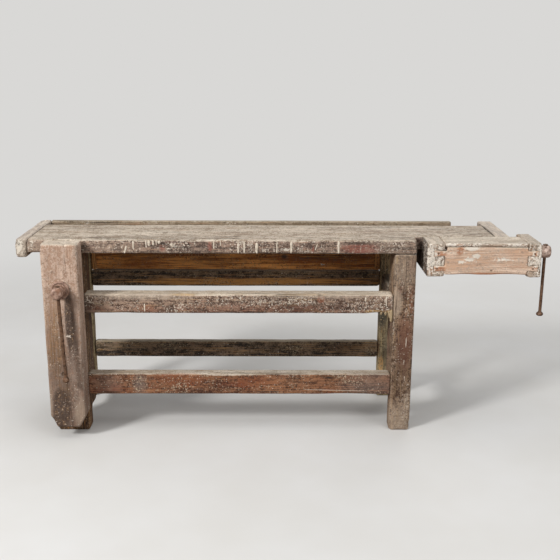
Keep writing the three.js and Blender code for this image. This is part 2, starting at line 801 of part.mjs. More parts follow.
piece(legVise, 'leg_garter', facingBack(garterPlate(legGarterPlate, legScrewDiameter)), iron(),
  [legScrewX, legGarterBack + jointGap, legScrewHeight]);
[-1, 1].forEach((side, i) => piece(legVise, `leg_garter_screw_${i + 1}`, facingBack(garterScrew()), iron(),
  [legScrewX + side * garterScrewReach(legGarterPlate), legGarterBack + garterThickness + 2 * jointGap,
    legScrewHeight]));

/** A screw's hub, collar and journal as a profile, from its outer end inwards. */
function hubProfile(outer, inner, hubDiameter, screwDiameter, grooveFrom, tip) {
  const way = Math.sign(inner - outer);
  const [hub, shaft] = [hubDiameter / 2, screwDiameter / 2];
  const groove = shaft - garterGroove;
  const core = (shaft - threadDepth) * Math.cos(Math.PI / threadSides) - jointGap;
  const grooveTo = grooveFrom + way * (garterThickness + 2 * jointGap);
  return [
    [0, outer], [hub - hubDome, outer], [hub - hubDome / 4, outer + way * hubDome / 2],
    [hub, outer + way * hubDome], [hub, inner - way * collarLength],
    [hub + collarRim, inner - way * collarLength * collarSlopeShare], [hub + collarRim, inner],
    [shaft, inner], [shaft, grooveFrom], [groove, grooveFrom], [groove, grooveTo],
    [shaft, grooveTo], [shaft, grooveTo + way * jointGap], [core, grooveTo + way * threadDepth],
    [core, tip - way * threadDepth], [core - threadDepth, tip], [0, tip],
  ];
}

const legThreadFrom = chopBack + threadDepth;
piece(legSpindle, 'leg_screw', cut(
  join(
    turned('y', hubProfile(legHubFront, legHubBack, legHubDiameter, legScrewDiameter, legGarterBack,
      legTipY)),
    threadRidge([legThreadFrom, legTipY - threadDepth], legScrewDiameter)),
  bore('z', [-legHubDiameter, legHubDiameter], legBarDiameter + 2 * barHoleFit, [0, legBarY, 0]),
), iron());

/** A tommy bar hanging through its hub: a forged knob below, a spigot for its head above. */
function tommyBar(diameter, hang, knobDiameter, knobHeight, hubDiameter) {
  const [bar, knob, spigot] = [diameter / 2, knobDiameter / 2, barSpigotDiameter / 2];
  const seat = hubDiameter / 2 + jointGap;
  return turned('z', [
    [0, -hang], [knob - knobEase, -hang], [knob, -hang + knobHeight * knobLowerShare],
    [knob, -hang + knobHeight * knobUpperShare], [bar, -hang + knobHeight],
    [bar, seat - jointGap], [spigot, seat - jointGap],
    [spigot, seat + barHeadHeight], [0, seat + barHeadHeight],
  ], rodSides);
}

/** The head riveted on the top end of a tommy bar. */
function barHead(diameter, hubDiameter) {
  const seat = hubDiameter / 2 + jointGap;
  return ring('z', [seat, seat + barHeadHeight], diameter + 2 * barHeadRim, barSpigotDiameter + 2 * slipFit,
    barHeadRim, rodSides);
}

piece(legSpindle, 'leg_bar',
  tommyBar(legBarDiameter, legBarHang, legKnobDiameter, legKnobHeight, legHubDiameter), iron(),
  [0, legBarY, 0]);
piece(legSpindle, 'leg_bar_head', barHead(legBarDiameter, legHubDiameter), iron(), [0, legBarY, 0]);
legSpindle.position.set(legScrewX, 0, legScrewHeight);
legSpindle.rotation.y = -THREE.MathUtils.degToRad(legBarTiltDegrees);

const legNutBack = frontLegDepth + jointGap;
const legNut = join(
  block(span(about(legScrewX, legNutFlange), [legNutBack, legNutBack + legNutFlangeThickness],
    about(legScrewHeight, legNutFlange))),
  rod('y', [legNutBack + legNutFlangeThickness / 2, legNutBack + legNutLength], legNutBossDiameter,
    [legScrewX, 0, legScrewHeight], roundSides));
piece(frame, 'leg_nut', cut(legNut,
  bore('y', [0, topDepth], legScrewDiameter + runningFit, [legScrewX, 0, legScrewHeight]),
  ...legNutBolts.map((place) => boltHole(place, [0, topDepth])),
), iron());
legNutBolts.forEach((place, i) => bolt(frame, `leg_nut_bolt_${i + 1}`, place,
  legNutFlangeThickness + boltBite - boltDiameter, 1));

// Tail vise: jaw block, front board, top board and end block make an L-shaped box

/** The tails at one end of the front board, larger by a clearance; way points out of the board. */
function dovetails(shoulder, way, clearance, [front, back]) {
  const root = shoulder - way * frontBoardThickness / 2;
  const end = shoulder + way * (dovetailLength + clearance);
  const half = dovetailRoot / 2 + clearance;
  return [upperDovetailDrop, lowerDovetailDrop].map((drop) => {
    const z = benchHeight - drop;
    return board('front', [
      [root, z - half], [shoulder, z - half], [end, z - half - dovetailFlare],
      [end, z + half + dovetailFlare], [shoulder, z + half], [root, z + half],
    ], [front, back]);
  });
}

const boardLeft = jawRight + jointGap;
const boardRight = endBlockLeft - jointGap;
const tailDepth = [viseFront, frontBoardBack];
const socketDepth = [viseFront - cutterOverrun, frontBoardBack + jointGap];
const nailHeights = [benchHeight - upperDovetailDrop, benchHeight - lowerDovetailDrop];
const nailPlaces = [
  ...jawNailShares.map((share, i) => [jawRight - dovetailLength * share, nailHeights[i]]),
  ...endNailShares.map((share, i) => [endBlockLeft + dovetailLength * share, nailHeights[i]]),
];

/** Holes for all the nails, of one depth and diameter. */
function nailBores(depth, diameter) {
  const reach = [viseFront - cutterOverrun, viseFront + depth];
  return nailPlaces.map(([x, z]) => bore('y', reach, diameter + 2 * slipFit, [x, 0, z], smallSides));
}

const nailHoles = nailBores(nailLength + slipFit, nailShankDiameter);
const nailSeats = nailBores(nailHeadHeight + jointGap, nailHeadDiameter);

// The tongue reaches from the jaw back under the plank and holds the end of the guide bar
const jawUnder = benchHeight - jawHeight;
const jawTongueTop = plankUnder - runningFit;
const jawTongueTenon = span(about(jawLeft + jawTongueThickness / 2, jawTongueThickness - 2 * tenonShoulder),
  [viseBack - jawTongueTenonLength, viseBack + 2 * jointGap],
  [jawUnder + tenonShoulder, jawTongueTop - tenonShoulder]);
const guideBar = span([jawLeft + guideBarEndGap, endBlockLeft + guideBarTenonLength],
  [guideBarFront, guideBarBack], [guideBarUnder, guideBarTop]);
piece(tailVise, 'vise_jaw_block', cut(
  timber(span([jawLeft, jawRight], [viseFront, viseBack], [jawUnder, benchHeight])),
  ...dovetails(jawRight + jointGap, -1, jointGap, socketDepth),
  block(jawTongueTenon, jointGap),
  ...nailHoles.slice(0, 2),
), wood(paleBeech));

piece(tailVise, 'vise_jaw_tongue', cut(
  join(timber(span([jawLeft, jawLeft + jawTongueThickness], [viseBack + jointGap, jawTongueBack],
    [jawUnder, jawTongueTop]), boardEase), block(jawTongueTenon)),
  block(guideBar, jointGap),
), wood(redBeech));

const frontBoard = board('front', [
  [boardLeft, benchHeight - frontBoardDrop], [boardRight, benchHeight - frontBoardDrop],
  [boardRight, frontBoardTop], [boardLeft + frontBoardNotchWidth, frontBoardTop],
  [boardLeft + frontBoardNotchWidth, frontBoardTop - frontBoardNotchHeight],
  [boardLeft, frontBoardTop - frontBoardNotchHeight],
], tailDepth, boardEase);
piece(tailVise, 'vise_front_board', cut(
  join(frontBoard, ...dovetails(boardLeft, -1, 0, tailDepth), ...dovetails(boardRight, 1, 0, tailDepth)),
  ...nailHoles, ...nailSeats,
), wood(paleBeech));

piece(tailVise, 'vise_top_board', timber(span([boardLeft, boardRight], [viseFront, viseBack],
  [benchHeight - topBoardThickness, benchHeight]), boardEase), wood(wornTop));

piece(tailVise, 'vise_end_block', cut(
  timber(span([endBlockLeft, endBlockRight], [viseFront, endBlockBack],
    [benchHeight - endBlockHeight, benchHeight])),
  ...dovetails(endBlockLeft - jointGap, 1, jointGap, socketDepth),
  ...nailHoles.slice(2),
  block(guideBar, jointGap),
  bore('x', [jawLeft, tailHubRight], tailScrewDiameter + 2 * boreFit, [0, tailScrewSetback, tailScrewZ]),
  block(span([jawLeft, tailGarterBack], about(tailScrewSetback, tailGarterPlate),
    about(tailScrewZ, tailGarterPlate)), jointGap),
  ...[-1, 1].map((side) => bore('x', [jawLeft, tailGarterBack + garterScrewLength],
    garterScrewDiameter + 2 * slipFit,
    [0, tailScrewSetback + side * garterScrewReach(tailGarterPlate), tailScrewZ], smallSides)),
), wood(paleBeech));

nailPlaces.forEach(([x, z], i) => {
  const [head, shank] = [nailHeadDiameter / 2, nailShankDiameter / 2];
  const geometry = turned('y', [
    [0, 0], [head, 0], [head, nailHeadHeight], [shank, nailHeadHeight],
    [shank, nailLength - nailShankDiameter], [0, nailLength],
  ], smallSides);
  piece(tailVise, `dovetail_nail_${i + 1}`, geometry, iron(), [x, viseFront, z]);
});

piece(tailVise, 'vise_guide_bar', timber(guideBar, boardEase), wood(redBeech));

for (const [name, left] of [
  ['inner_guide_keeper', innerKeeperLeft],
  ['outer_guide_keeper', plankRight - outerKeeperSetback - keeperLength],
]) {
  const body = span([left, left + keeperLength], [keeperFront, guideBarBack + runningFit + keeperWall],
    [guideBarUnder - runningFit - keeperWall, plankUnder - jointGap]);
  const way = span([left - keeperLength, left + 2 * keeperLength], [guideBarFront, guideBarBack],
    [guideBarUnder, guideBarTop]);
  piece(frame, name, cut(timber(body, boardEase), block(way, runningFit)), wood(redBeech));
}

piece(tailVise, 'tail_rosette', ring('x',
  [endBlockRight + jointGap, endBlockRight + jointGap + tailRosetteThickness],
  tailRosetteDiameter, tailScrewDiameter + 2 * boreFit, tailRosetteThickness / 2), iron(),
[0, tailScrewSetback, tailScrewZ]);

/** Lays a piece that was drawn along Z so that Z points to the left of the bench, its slot still down. */
function facingLeft(geometry) {
  return geometry.applyMatrix4(new THREE.Matrix4().makeBasis(
    new THREE.Vector3(0, -1, 0), new THREE.Vector3(0, 0, 1), new THREE.Vector3(-1, 0, 0)));
}

piece(tailVise, 'tail_garter', facingLeft(garterPlate(tailGarterPlate, tailScrewDiameter)), iron(),
  [tailGarterBack - jointGap, tailScrewSetback, tailScrewZ]);
[-1, 1].forEach((side, i) => piece(tailVise, `tail_garter_screw_${i + 1}`, facingLeft(garterScrew()), iron(),
  [tailGarterBack - garterThickness - 2 * jointGap,
    tailScrewSetback + side * garterScrewReach(tailGarterPlate), tailScrewZ]));

const tailThreadRight = endBlockLeft - threadDepth;
const tailThread = threadRidge([tailTipX + threadDepth, tailThreadRight], tailScrewDiameter);
piece(tailSpindle, 'tail_screw', cut(
  join(
    turned('x', hubProfile(tailHubRight, tailHubLeft, tailHubDiameter, tailScrewDiameter, tailGarterBack,
      tailTipX)),
    tailThread.rotateZ(-Math.PI / 2)),
  bore('z', [-tailHubDiameter, tailHubDiameter], tailBarDiameter + 2 * barHoleFit, [tailBarX, 0, 0]),
), iron(), [0, tailScrewSetback, tailScrewZ]);
piece(tailSpindle, 'tail_bar',
  tommyBar(tailBarDiameter, tailBarHang, tailKnobDiameter, tailKnobHeight, tailHubDiameter), iron(),
  [tailBarX, tailScrewSetback, tailScrewZ]);
piece(tailSpindle, 'tail_bar_head', barHead(tailBarDiameter, tailHubDiameter), iron(),
  [tailBarX, tailScrewSetback, tailScrewZ]);

const tailNut = block(span([tailNutLeft, tailNutRight], [tailNutFront, notchDepth - jointGap],
  [tailScrewZ - tailScrewDiameter, tailNutTop]));
piece(frame, 'tail_nut', cut(tailNut,
  bore('x', [notchX, tailHubRight], tailScrewDiameter + runningFit, [0, tailScrewSetback, tailScrewZ]),
  ...tailNutBolts.map((place) => boltHole(place, [tailNutFront - cutterOverrun, topDepth])),
), iron());
tailNutBolts.forEach((place, i) => bolt(frame, `tail_nut_bolt_${i + 1}`, place,
  notchDepth - tailNutFront + boltBite - boltDiameter, -1));

// The bench stands on the floor with its origin below the middle of its box

const bench = new THREE.Group();
bench.add(frame, legVise, tailVise);
const leftmost = plankLeft - leftCapWidth;
bench.position.set(-(leftmost + tailHubRight) / 2, -(legHubFront + topDepth) / 2, 0);

export default bench;
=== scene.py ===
"""The looks of an old joiner's bench with a leg vise and a tail vise.

Each timber is a worn copy of its solid: its arrises are rubbed round, chipped and gouged, and its finish
follows that wear. The iron is turned and threaded anew, and dried plaster lies on it all in runs and spatter.
"""

import itertools
import json
import logging
import math
from collections.abc import Sequence
from dataclasses import dataclass, field
from enum import Enum
from statistics import NormalDist

import bmesh
import bpy
import numpy as np
from mathutils import Matrix, Vector

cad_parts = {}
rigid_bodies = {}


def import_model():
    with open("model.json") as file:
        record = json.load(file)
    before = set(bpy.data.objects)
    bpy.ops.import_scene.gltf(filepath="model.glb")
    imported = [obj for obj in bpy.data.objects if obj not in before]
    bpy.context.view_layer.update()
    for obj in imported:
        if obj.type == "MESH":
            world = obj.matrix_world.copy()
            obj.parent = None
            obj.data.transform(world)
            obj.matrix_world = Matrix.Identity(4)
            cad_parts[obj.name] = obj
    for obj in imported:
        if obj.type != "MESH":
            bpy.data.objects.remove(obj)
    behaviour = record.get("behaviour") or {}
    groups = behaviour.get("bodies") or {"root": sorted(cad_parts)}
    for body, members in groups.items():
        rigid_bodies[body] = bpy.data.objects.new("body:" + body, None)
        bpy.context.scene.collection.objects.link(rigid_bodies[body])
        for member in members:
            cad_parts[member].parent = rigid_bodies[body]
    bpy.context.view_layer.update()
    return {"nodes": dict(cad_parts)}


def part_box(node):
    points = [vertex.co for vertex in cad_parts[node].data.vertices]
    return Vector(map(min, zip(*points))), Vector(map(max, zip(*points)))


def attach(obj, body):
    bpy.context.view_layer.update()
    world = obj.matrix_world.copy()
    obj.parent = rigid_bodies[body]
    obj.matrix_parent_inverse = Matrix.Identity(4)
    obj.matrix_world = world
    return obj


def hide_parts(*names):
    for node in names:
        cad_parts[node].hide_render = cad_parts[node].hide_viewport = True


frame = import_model()
MM = 0.001
log = logging.getLogger("bench")

Triple = tuple[float, float, float]
Place = Sequence[float]


class Body(str, Enum):
    """The rigid bodies that pieces ride on."""

    BENCH = "bench"
    LEG_CHOP = "leg_chop"
    LEG_SCREW = "leg_screw"
    LEG_BAR = "leg_bar"
    TAIL_VISE = "tail_vise"
    TAIL_SCREW = "tail_screw"
    TAIL_BAR = "tail_bar"


class Grain(Enum):
    """The way the fibres of a timber run, as the number of an axis."""

    ALONG = 0
    ACROSS = 1
    UPRIGHT = 2

    def sizes(self, length: float, width: float) -> Triple:
        """The size of a fibre pattern along X, Y and Z.

        Args:
            length: its size along the fibres, in millimetres.
            width: its size across them, in millimetres.

        Returns:
            One size for each axis, in millimetres.
        """
        return tuple(length if axis == self.value else width for axis in range(3))


class Mark(Enum):
    """What a mark on a timber shows, as the column of its marks."""

    PALE = 0
    RAW = 1
    # Dark dirt, and in places painted shade and shadow.
    DARK = 2
    RED = 3
    # Dust, and in places a painted sheen.
    DUST = 4


# Shader and mesh helpers


def linear(colour: str) -> tuple[float, float, float, float]:
    """A colour as the shaders need it.

    Args:
        colour: an sRGB hex value such as "#a08060".

    Returns:
        Linear red, green and blue, and an alpha of 1.
    """
    parts = [int(colour[i : i + 2], 16) / 255 for i in (1, 3, 5)]
    return (*(c / 12.92 if c <= 0.04045 else ((c + 0.055) / 1.055) ** 2.4 for c in parts), 1.0)


def add_node(tree: bpy.types.NodeTree, kind: str, inputs: dict | None = None, **settings: object) -> bpy.types.Node:
    """Adds a node with its settings, values and links.

    Args:
        tree: the shader or geometry tree.
        kind: the node's type.
        inputs: an input's name, identifier or number to a value, or to the socket that feeds it.
        **settings: properties of the node itself.

    Returns:
        The new node.
    """
    node = tree.nodes.new(kind)
    for name, value in settings.items():
        setattr(node, name, value)
    for key, value in (inputs or {}).items():
        names = [key in (number, s.identifier, s.name) for number, s in enumerate(node.inputs)]
        socket = node.inputs[names.index(True)]
        if isinstance(value, bpy.types.NodeSocket):
            tree.links.new(value, socket)
        else:
            socket.default_value = value
    return node


def patches(
    tree: bpy.types.NodeTree, spot: bpy.types.NodeSocket, sizes: Triple, low: float, high: float,
    detail: float = 3.0, shift: float = 0.0,
) -> bpy.types.NodeSocket:
    """Irregular patches of a real size.

    Args:
        tree: the shader tree.
        spot: the coordinates, in metres.
        sizes: the patches' size along X, Y and Z, in millimetres.
        low: the noise value at which a patch starts to show.
        high: the noise value at which it shows fully.
        detail: how many finer layers roughen the patches.
        shift: moves the pattern, so that two patterns of one size differ.

    Returns:
        A mask from 0 to 1.
    """
    placed = add_node(tree, "ShaderNodeMapping", {
        "Vector": spot, "Location": (shift, shift, shift), "Scale": tuple(1 / (size * MM) for size in sizes)})
    noise = add_node(tree, "ShaderNodeTexNoise", {
        "Vector": placed.outputs[0], "Scale": 1.0, "Detail": detail, "Roughness": 0.62})
    shown = add_node(tree, "ShaderNodeMapRange", {"Value": noise.outputs[0], "From Min": low, "From Max": high})
    return shown.outputs[0]


def crumbs(
    tree: bpy.types.NodeTree, spot: bpy.types.NodeSocket, size: float, shift: float,
) -> list[bpy.types.NodeSocket]:
    """Small irregular crumbs, each of one random tone, as in flaked paint or caked dust.

    Args:
        tree: the shader tree.
        spot: the coordinates, in metres.
        size: the crumbs' size, in millimetres.
        shift: moves the pattern, so that two patterns of one size differ.

    Returns:
        Three independent values from 0 to 1, each even over one crumb.
    """
    scale = 1 / (size * MM)
    placed = add_node(tree, "ShaderNodeMapping", {
        "Vector": spot, "Location": (shift, shift, shift), "Scale": (scale, scale, scale)})
    noise = add_node(tree, "ShaderNodeTexNoise", {"Vector": placed.outputs[0], "Scale": 0.9, "Detail": 2.0})
    bent = add_node(tree, "ShaderNodeVectorMath", {
        0: noise.outputs["Color"], 1: (0.9, 0.9, 0.9), 2: placed.outputs[0]}, operation="MULTIPLY_ADD")
    cells = add_node(tree, "ShaderNodeTexVoronoi", {"Vector": bent.outputs[0], "Scale": 1.0})
    return list(add_node(tree, "ShaderNodeSeparateColor", {"Color": cells.outputs["Color"]}).outputs)


def ragged(
    tree: bpy.types.NodeTree, mask: bpy.types.NodeSocket, rough: bpy.types.NodeSocket, reach: float,
    low: float = 0.15, high: float = 0.75, most: float = 1.0,
) -> bpy.types.NodeSocket:
    """A soft mask with its edge broken up.

    Args:
        tree: the shader tree.
        mask: the soft mask, from 0 to 1.
        rough: a pattern from 0 to 1 that breaks the edge.
        reach: how far the pattern moves the edge.
        low: the value at which the mask starts to show.
        high: the value at which it shows fully.
        most: how strongly it shows then.

    Returns:
        A mask from 0 to most.
    """
    moved = add_node(tree, "ShaderNodeMath", {0: rough, 1: reach, 2: mask}, operation="MULTIPLY_ADD")
    shown = add_node(tree, "ShaderNodeMapRange", {
        "Value": moved.outputs[0], "From Min": low + reach / 2, "From Max": high + reach / 2, "To Max": most})
    return shown.outputs[0]


def lay_over(
    tree: bpy.types.NodeTree, under: bpy.types.NodeSocket, layers: Sequence[tuple[bpy.types.NodeSocket, str]],
) -> bpy.types.NodeSocket:
    """Lays coloured layers over a colour, each where its mask shows.

    Args:
        tree: the shader tree.
        under: the colour below them all.
        layers: a mask and an sRGB hex value for each layer, from the lowest up.

    Returns:
        The colour that is left showing.
    """
    for mask, colour in layers:
        mixed = add_node(tree, "ShaderNodeMix", {
            "Factor_Float": mask, "A_Color": under, "B_Color": linear(colour)}, data_type="RGBA")
        under = mixed.outputs[2]
    return under


def new_material(name: str) -> tuple[bpy.types.Material, bpy.types.NodeTree]:
    """A material with an empty node tree.

    Args:
        name: the material's name.

    Returns:
        The material and its tree.
    """
    material = bpy.data.materials.new(name)
    material.use_nodes = True
    material.node_tree.nodes.clear()
    return material, material.node_tree


def soft_noise(points: np.ndarray, sizes: Sequence[float], seed: int) -> np.ndarray:
    """Smooth random lumps at points.

    Args:
        points: places in metres, one row each.
        sizes: the lumps' size along X, Y and Z, in millimetres.
        seed: which lumps.

    Returns:
        A value from 0 to 1 for each point.
    """
    scaled = points / (np.asarray(sizes) * MM)
    cell = np.floor(scaled).astype(np.int64)
    part = scaled - cell
    part = part * part * (3 - 2 * part)
    total = np.zeros(len(points))
    for corner in itertools.product((0, 1), repeat=3):
        x, y, z = (cell + corner).T
        mixed = (x * 73856093) ^ (y * 19349663) ^ (z * 83492791) ^ (seed * 49979687)
        mixed = ((mixed ^ (mixed >> 13)) * 1274126177) & 0xFFFFFFFF
        mixed ^= mixed >> 16
        share = np.prod(np.where(corner, part, 1 - part), axis=1)
        total += share * (mixed & 0xFFFF) / 0xFFFF
    return total


def mesh_object(name: str, mesh: bpy.types.Mesh) -> bpy.types.Object:
    """Puts a mesh in the scene, at the origin.

    Args:
        name: the object's name.
        mesh: its mesh, in the frame of the bench.

    Returns:
        The new object.
    """
    piece = bpy.data.objects.new(name, mesh)
    bpy.context.scene.collection.objects.link(piece)
    return piece


def settle(piece: bpy.types.Object) -> None:
    """Turns what a piece's modifiers make into its plain mesh."""
    bpy.context.view_layer.update()
    evaluated = piece.evaluated_get(bpy.context.evaluated_depsgraph_get())
    made = bpy.data.meshes.new_from_object(evaluated)
    piece.modifiers.clear()
    piece.data = made
    made.name = piece.name


def finish_piece(
    piece: bpy.types.Object, body: Body, material: bpy.types.Material | None, nodes: Sequence[str] = (),
) -> None:
    """Gives a piece its material and body, and hides what it stands for.

    Args:
        piece: the finished mesh object.
        body: the body that it rides on.
        material: its material, or None where its mesh already has one.
        nodes: the solids that it stands for.
    """
    if material is not None:
        piece.data.materials.clear()
        piece.data.materials.append(material)
    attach(piece, body.value)
    if nodes:
        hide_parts(*nodes)
    log.info("%s: %d faces on %s", piece.name, len(piece.data.polygons), body.value)


# Finishes


@dataclass(frozen=True)
class AgedTimber:
    """Old sawn timber: painted, rubbed bare at the arrises, dusty on top and splashed by years of work."""

    name: str
    slot: str
    grain: Grain
    dark: str
    light: str
    blush: str
    top_dark: str
    top_light: str
    bare: str
    top_blush: str = "#948066"
    fleck: str = "#cfc4b4"
    mottle: float = 0.55
    blush_share: float = 0.25
    fleck_share: float = 0.12
    wear_reach: float = 0.5
    top_reach: float = 0.35
    crack_share: float = 0.35
    pit_share: float = 0.1
    crumb: float = 4.4
    pale: str = "#ddd3c3"
    dust: str = "#a89b8c"
    raw: str = "#b98150"
    stain: str = "#3a2e26"
    red: str = "#8e5a50"

    def show_from(self, share: float) -> float:
        """The value above which about that share of a noise lies."""
        return 0.5 + 0.13 * NormalDist().inv_cdf(1 - share)

    def material(self) -> bpy.types.Material:
        """The finish as a material.

        Returns:
            A material that reads Object coordinates and the wear and stain attributes.
        """
        material, tree = new_material(self.name)
        place = add_node(tree, "ShaderNodeTexCoord")
        spot = place.outputs["Object"]
        up = add_node(tree, "ShaderNodeSeparateXYZ", {"Vector": place.outputs["Normal"]}).outputs["Z"]
        # The fibres are drawn about three times as wide as real ones, so that they show from a few steps away.
        fibre = patches(tree, spot, self.grain.sizes(150, 4.5), 0.34, 0.66, 6)
        broad = patches(tree, spot, self.grain.sizes(420, 60), 0.35, 0.65, 3, 3.7)
        blotch = patches(tree, spot, self.grain.sizes(30, 18), 0.37, 0.63, 7, 7.1)
        flake = patches(tree, spot, (11, 11, 11), 0.3, 0.7, 5, 2.3)
        grit, speck, pit = crumbs(tree, spot, self.crumb, 1.9)
        grain = add_node(tree, "ShaderNodeMix", {"Factor_Float": 0.4, "A_Float": fibre, "B_Float": broad})
        crust = add_node(tree, "ShaderNodeMix", {"Factor_Float": 0.5, "A_Float": blotch, "B_Float": grit})
        mixed = add_node(tree, "ShaderNodeMix", {
            "Factor_Float": self.mottle, "A_Float": grain.outputs[0], "B_Float": crust.outputs[0]})
        tone = add_node(tree, "ShaderNodeMapRange", {
            "Value": mixed.outputs[0], "From Min": 0.36, "From Max": 0.64}).outputs[0]
        side = add_node(tree, "ShaderNodeMix", {
            "Factor_Float": tone, "A_Color": linear(self.dark), "B_Color": linear(self.light)}, data_type="RGBA")
        cluster = patches(tree, spot, self.grain.sizes(120, 60), 0.35, 0.65, 4, 6.6)
        blush = patches(tree, spot, self.grain.sizes(150, 45), 0.0, 1.0, 4, 5.3)
        blush_from = self.show_from(self.blush_share)
        flushed = ragged(tree, blush, grit, 0.12, blush_from, blush_from + 0.12, 0.8)
        painted = lay_over(tree, side.outputs[2], [(flushed, self.blush)])
        top = add_node(tree, "ShaderNodeMix", {
            "Factor_Float": tone, "A_Color": linear(self.top_dark), "B_Color": linear(self.top_light)},
            data_type="RGBA")
        top_colour = lay_over(tree, top.outputs[2], [
            (ragged(tree, blush, fibre, 0.2, blush_from - 0.05, blush_from + 0.2, 0.7), self.top_blush)])
        upward = ragged(tree, up, crust.outputs[0], self.top_reach, 0.4, 0.75)
        faced = add_node(tree, "ShaderNodeMix", {
            "Factor_Float": upward, "A_Color": painted, "B_Color": top_colour}, data_type="RGBA")
        # Grime in the pits and pale grains of dust lie over all else, but hands keep the top clear of them.
        pits = add_node(tree, "ShaderNodeMath", {0: pit, 1: upward}, operation="SUBTRACT").outputs[0]
        grains = add_node(tree, "ShaderNodeMath", {0: speck, 1: upward}, operation="SUBTRACT").outputs[0]
        wear = add_node(tree, "ShaderNodeAttribute", attribute_name="wear").outputs["Fac"]
        stain = add_node(tree, "ShaderNodeAttribute", attribute_name="stain")
        dust = add_node(tree, "ShaderNodeAttribute", attribute_name="dust").outputs["Fac"]
        channels = add_node(tree, "ShaderNodeSeparateColor", {"Color": stain.outputs["Color"]})
        crack = patches(tree, spot, self.grain.sizes(420, 9), 0.47, 0.5, 2, 9.4)
        crack_end = patches(tree, spot, self.grain.sizes(420, 9), 0.5, 0.53, 2, 9.4)
        line = add_node(tree, "ShaderNodeMath", {0: crack, 1: crack_end}, operation="SUBTRACT")
        some = self.show_from(self.crack_share)
        where = patches(tree, spot, self.grain.sizes(500, 50), some, some + 0.1, 2, 4.4)
        cracks = add_node(tree, "ShaderNodeMath", {0: line.outputs[0], 1: where}, operation="MULTIPLY")
        colour = lay_over(tree, faced.outputs[2], [
            (ragged(tree, stain.outputs["Alpha"], crust.outputs[0], 0.9, 0.15, 0.9, 0.8), self.red),
            (ragged(tree, channels.outputs["Green"], fibre, 0.9, 0.2, 0.7, 0.85), self.raw),
            (ragged(tree, wear, grit, self.wear_reach, 0.3, 0.9, 0.85), self.bare),
            # Dark dirt from the blue channel, and in places painted shade and shadow.
            (ragged(tree, channels.outputs["Blue"], crust.outputs[0], 0.6, 0.05, 0.95, 0.9), self.stain),
            (ragged(tree, channels.outputs["Blue"], flake, 1.0, 1.1, 1.4, 0.7), self.raw),
            # Dust, and in places a painted sheen.
            (ragged(tree, dust, crust.outputs[0], 0.5, 0.0, 1.0, 0.8), self.dust),
            (ragged(tree, channels.outputs["Red"], flake, 1.0, 0.35, 0.55, 0.95), self.pale),
            (ragged(tree, pits, cluster, 0.3, 1 - self.pit_share, 1.2 - self.pit_share, 0.8), self.stain),
            (ragged(tree, grains, cluster, 0.4, 1 - self.fleck_share, 1.25 - self.fleck_share, 0.9), self.fleck),
            (cracks.outputs[0], self.stain),
        ])
        height = add_node(tree, "ShaderNodeMath", {0: cracks.outputs[0], 1: -1.5, 2: tone}, operation="MULTIPLY_ADD")
        bump = add_node(tree, "ShaderNodeBump", {"Height": height.outputs[0], "Strength": 1.0, "Distance": 1.8 * MM})
        rough = add_node(tree, "ShaderNodeMapRange", {"Value": tone, "To Min": 0.72, "To Max": 0.92})
        shader = add_node(tree, "ShaderNodeBsdfPrincipled", {
            "Base Color": colour, "Roughness": rough.outputs[0], "IOR": 1.5, "Normal": bump.outputs[0]})
        add_node(tree, "ShaderNodeOutputMaterial", {"Surface": shader.outputs[0]})
        return material


@dataclass(frozen=True)
class RustedIron:
    """Forged iron, brown with old rust, darker in its pits and a little brighter where hands rub it."""

    name: str = "forged_iron_brown_rust"
    slot: str = "rusty_iron"
    dark: str = "#6a4f40"
    light: str = "#c0a08e"
    rust: str = "#8d6852"
    rubbed: str = "#dcc2b2"

    def material(self) -> bpy.types.Material:
        """The finish as a material that reads Object coordinates."""
        material, tree = new_material(self.name)
        spot = add_node(tree, "ShaderNodeTexCoord").outputs["Object"]
        tone = patches(tree, spot, (14, 14, 14), 0.35, 0.65, 5)
        pits = patches(tree, spot, (3, 3, 3), 0.3, 0.7, 3, 2.7)
        base = add_node(tree, "ShaderNodeMix", {
            "Factor_Float": tone, "A_Color": linear(self.dark), "B_Color": linear(self.light)}, data_type="RGBA")
        colour = lay_over(tree, base.outputs[2], [
            (patches(tree, spot, (22, 22, 22), 0.54, 0.64, 4, 4.1), self.rust),
            (patches(tree, spot, (9, 9, 30), 0.6, 0.7, 3, 8.3), self.rubbed),
        ])
        bump = add_node(tree, "ShaderNodeBump", {"Height": pits, "Strength": 0.5, "Distance": 0.5 * MM})
        rough = add_node(tree, "ShaderNodeMapRange", {"Value": tone, "To Min": 0.7, "To Max": 0.38})
        shader = add_node(tree, "ShaderNodeBsdfPrincipled", {
            "Base Color": colour, "Metallic": 0.25, "Roughness": rough.outputs[0], "Normal": bump.outputs[0]})
        add_node(tree, "ShaderNodeOutputMaterial", {"Surface": shader.outputs[0]})
        return material


@dataclass(frozen=True)
class DriedPlaster:
    """Plaster and lime paint, dried in runs and splashes: chalky, cream and quite matt."""

    name: str
    light: str
    dark: str

    def material(self) -> bpy.types.Material:
        """The finish as a material that reads Object coordinates."""
        material, tree = new_material(self.name)
        spot = add_node(tree, "ShaderNodeTexCoord").outputs["Object"]
        tone = patches(tree, spot, (9, 9, 14), 0.35, 0.65, 4)
        base = add_node(tree, "ShaderNodeMix", {
            "Factor_Float": tone, "A_Color": linear(self.dark), "B_Color": linear(self.light)}, data_type="RGBA")
        bump = add_node(tree, "ShaderNodeBump", {"Height": tone, "Strength": 0.4, "Distance": 0.4 * MM})
        shader = add_node(tree, "ShaderNodeBsdfPrincipled", {
            "Base Color": base.outputs[2], "Roughness": 0.92, "Normal": bump.outputs[0]})
        add_node(tree, "ShaderNodeOutputMaterial", {"Surface": shader.outputs[0]})
        return material


# Worn timber


@dataclass(frozen=True)
class SoftPatch:
    """A soft patch on a timber, in millimetres: its middle and how far it reaches each way."""

    mark: Mark
    at: Triple
    reach: Triple
    strength: float = 1.0


@dataclass(frozen=True)
class Gouge:
    """A hollow worn or broken into a timber, in millimetres."""

    at: Triple
    reach: Triple
    depth: float


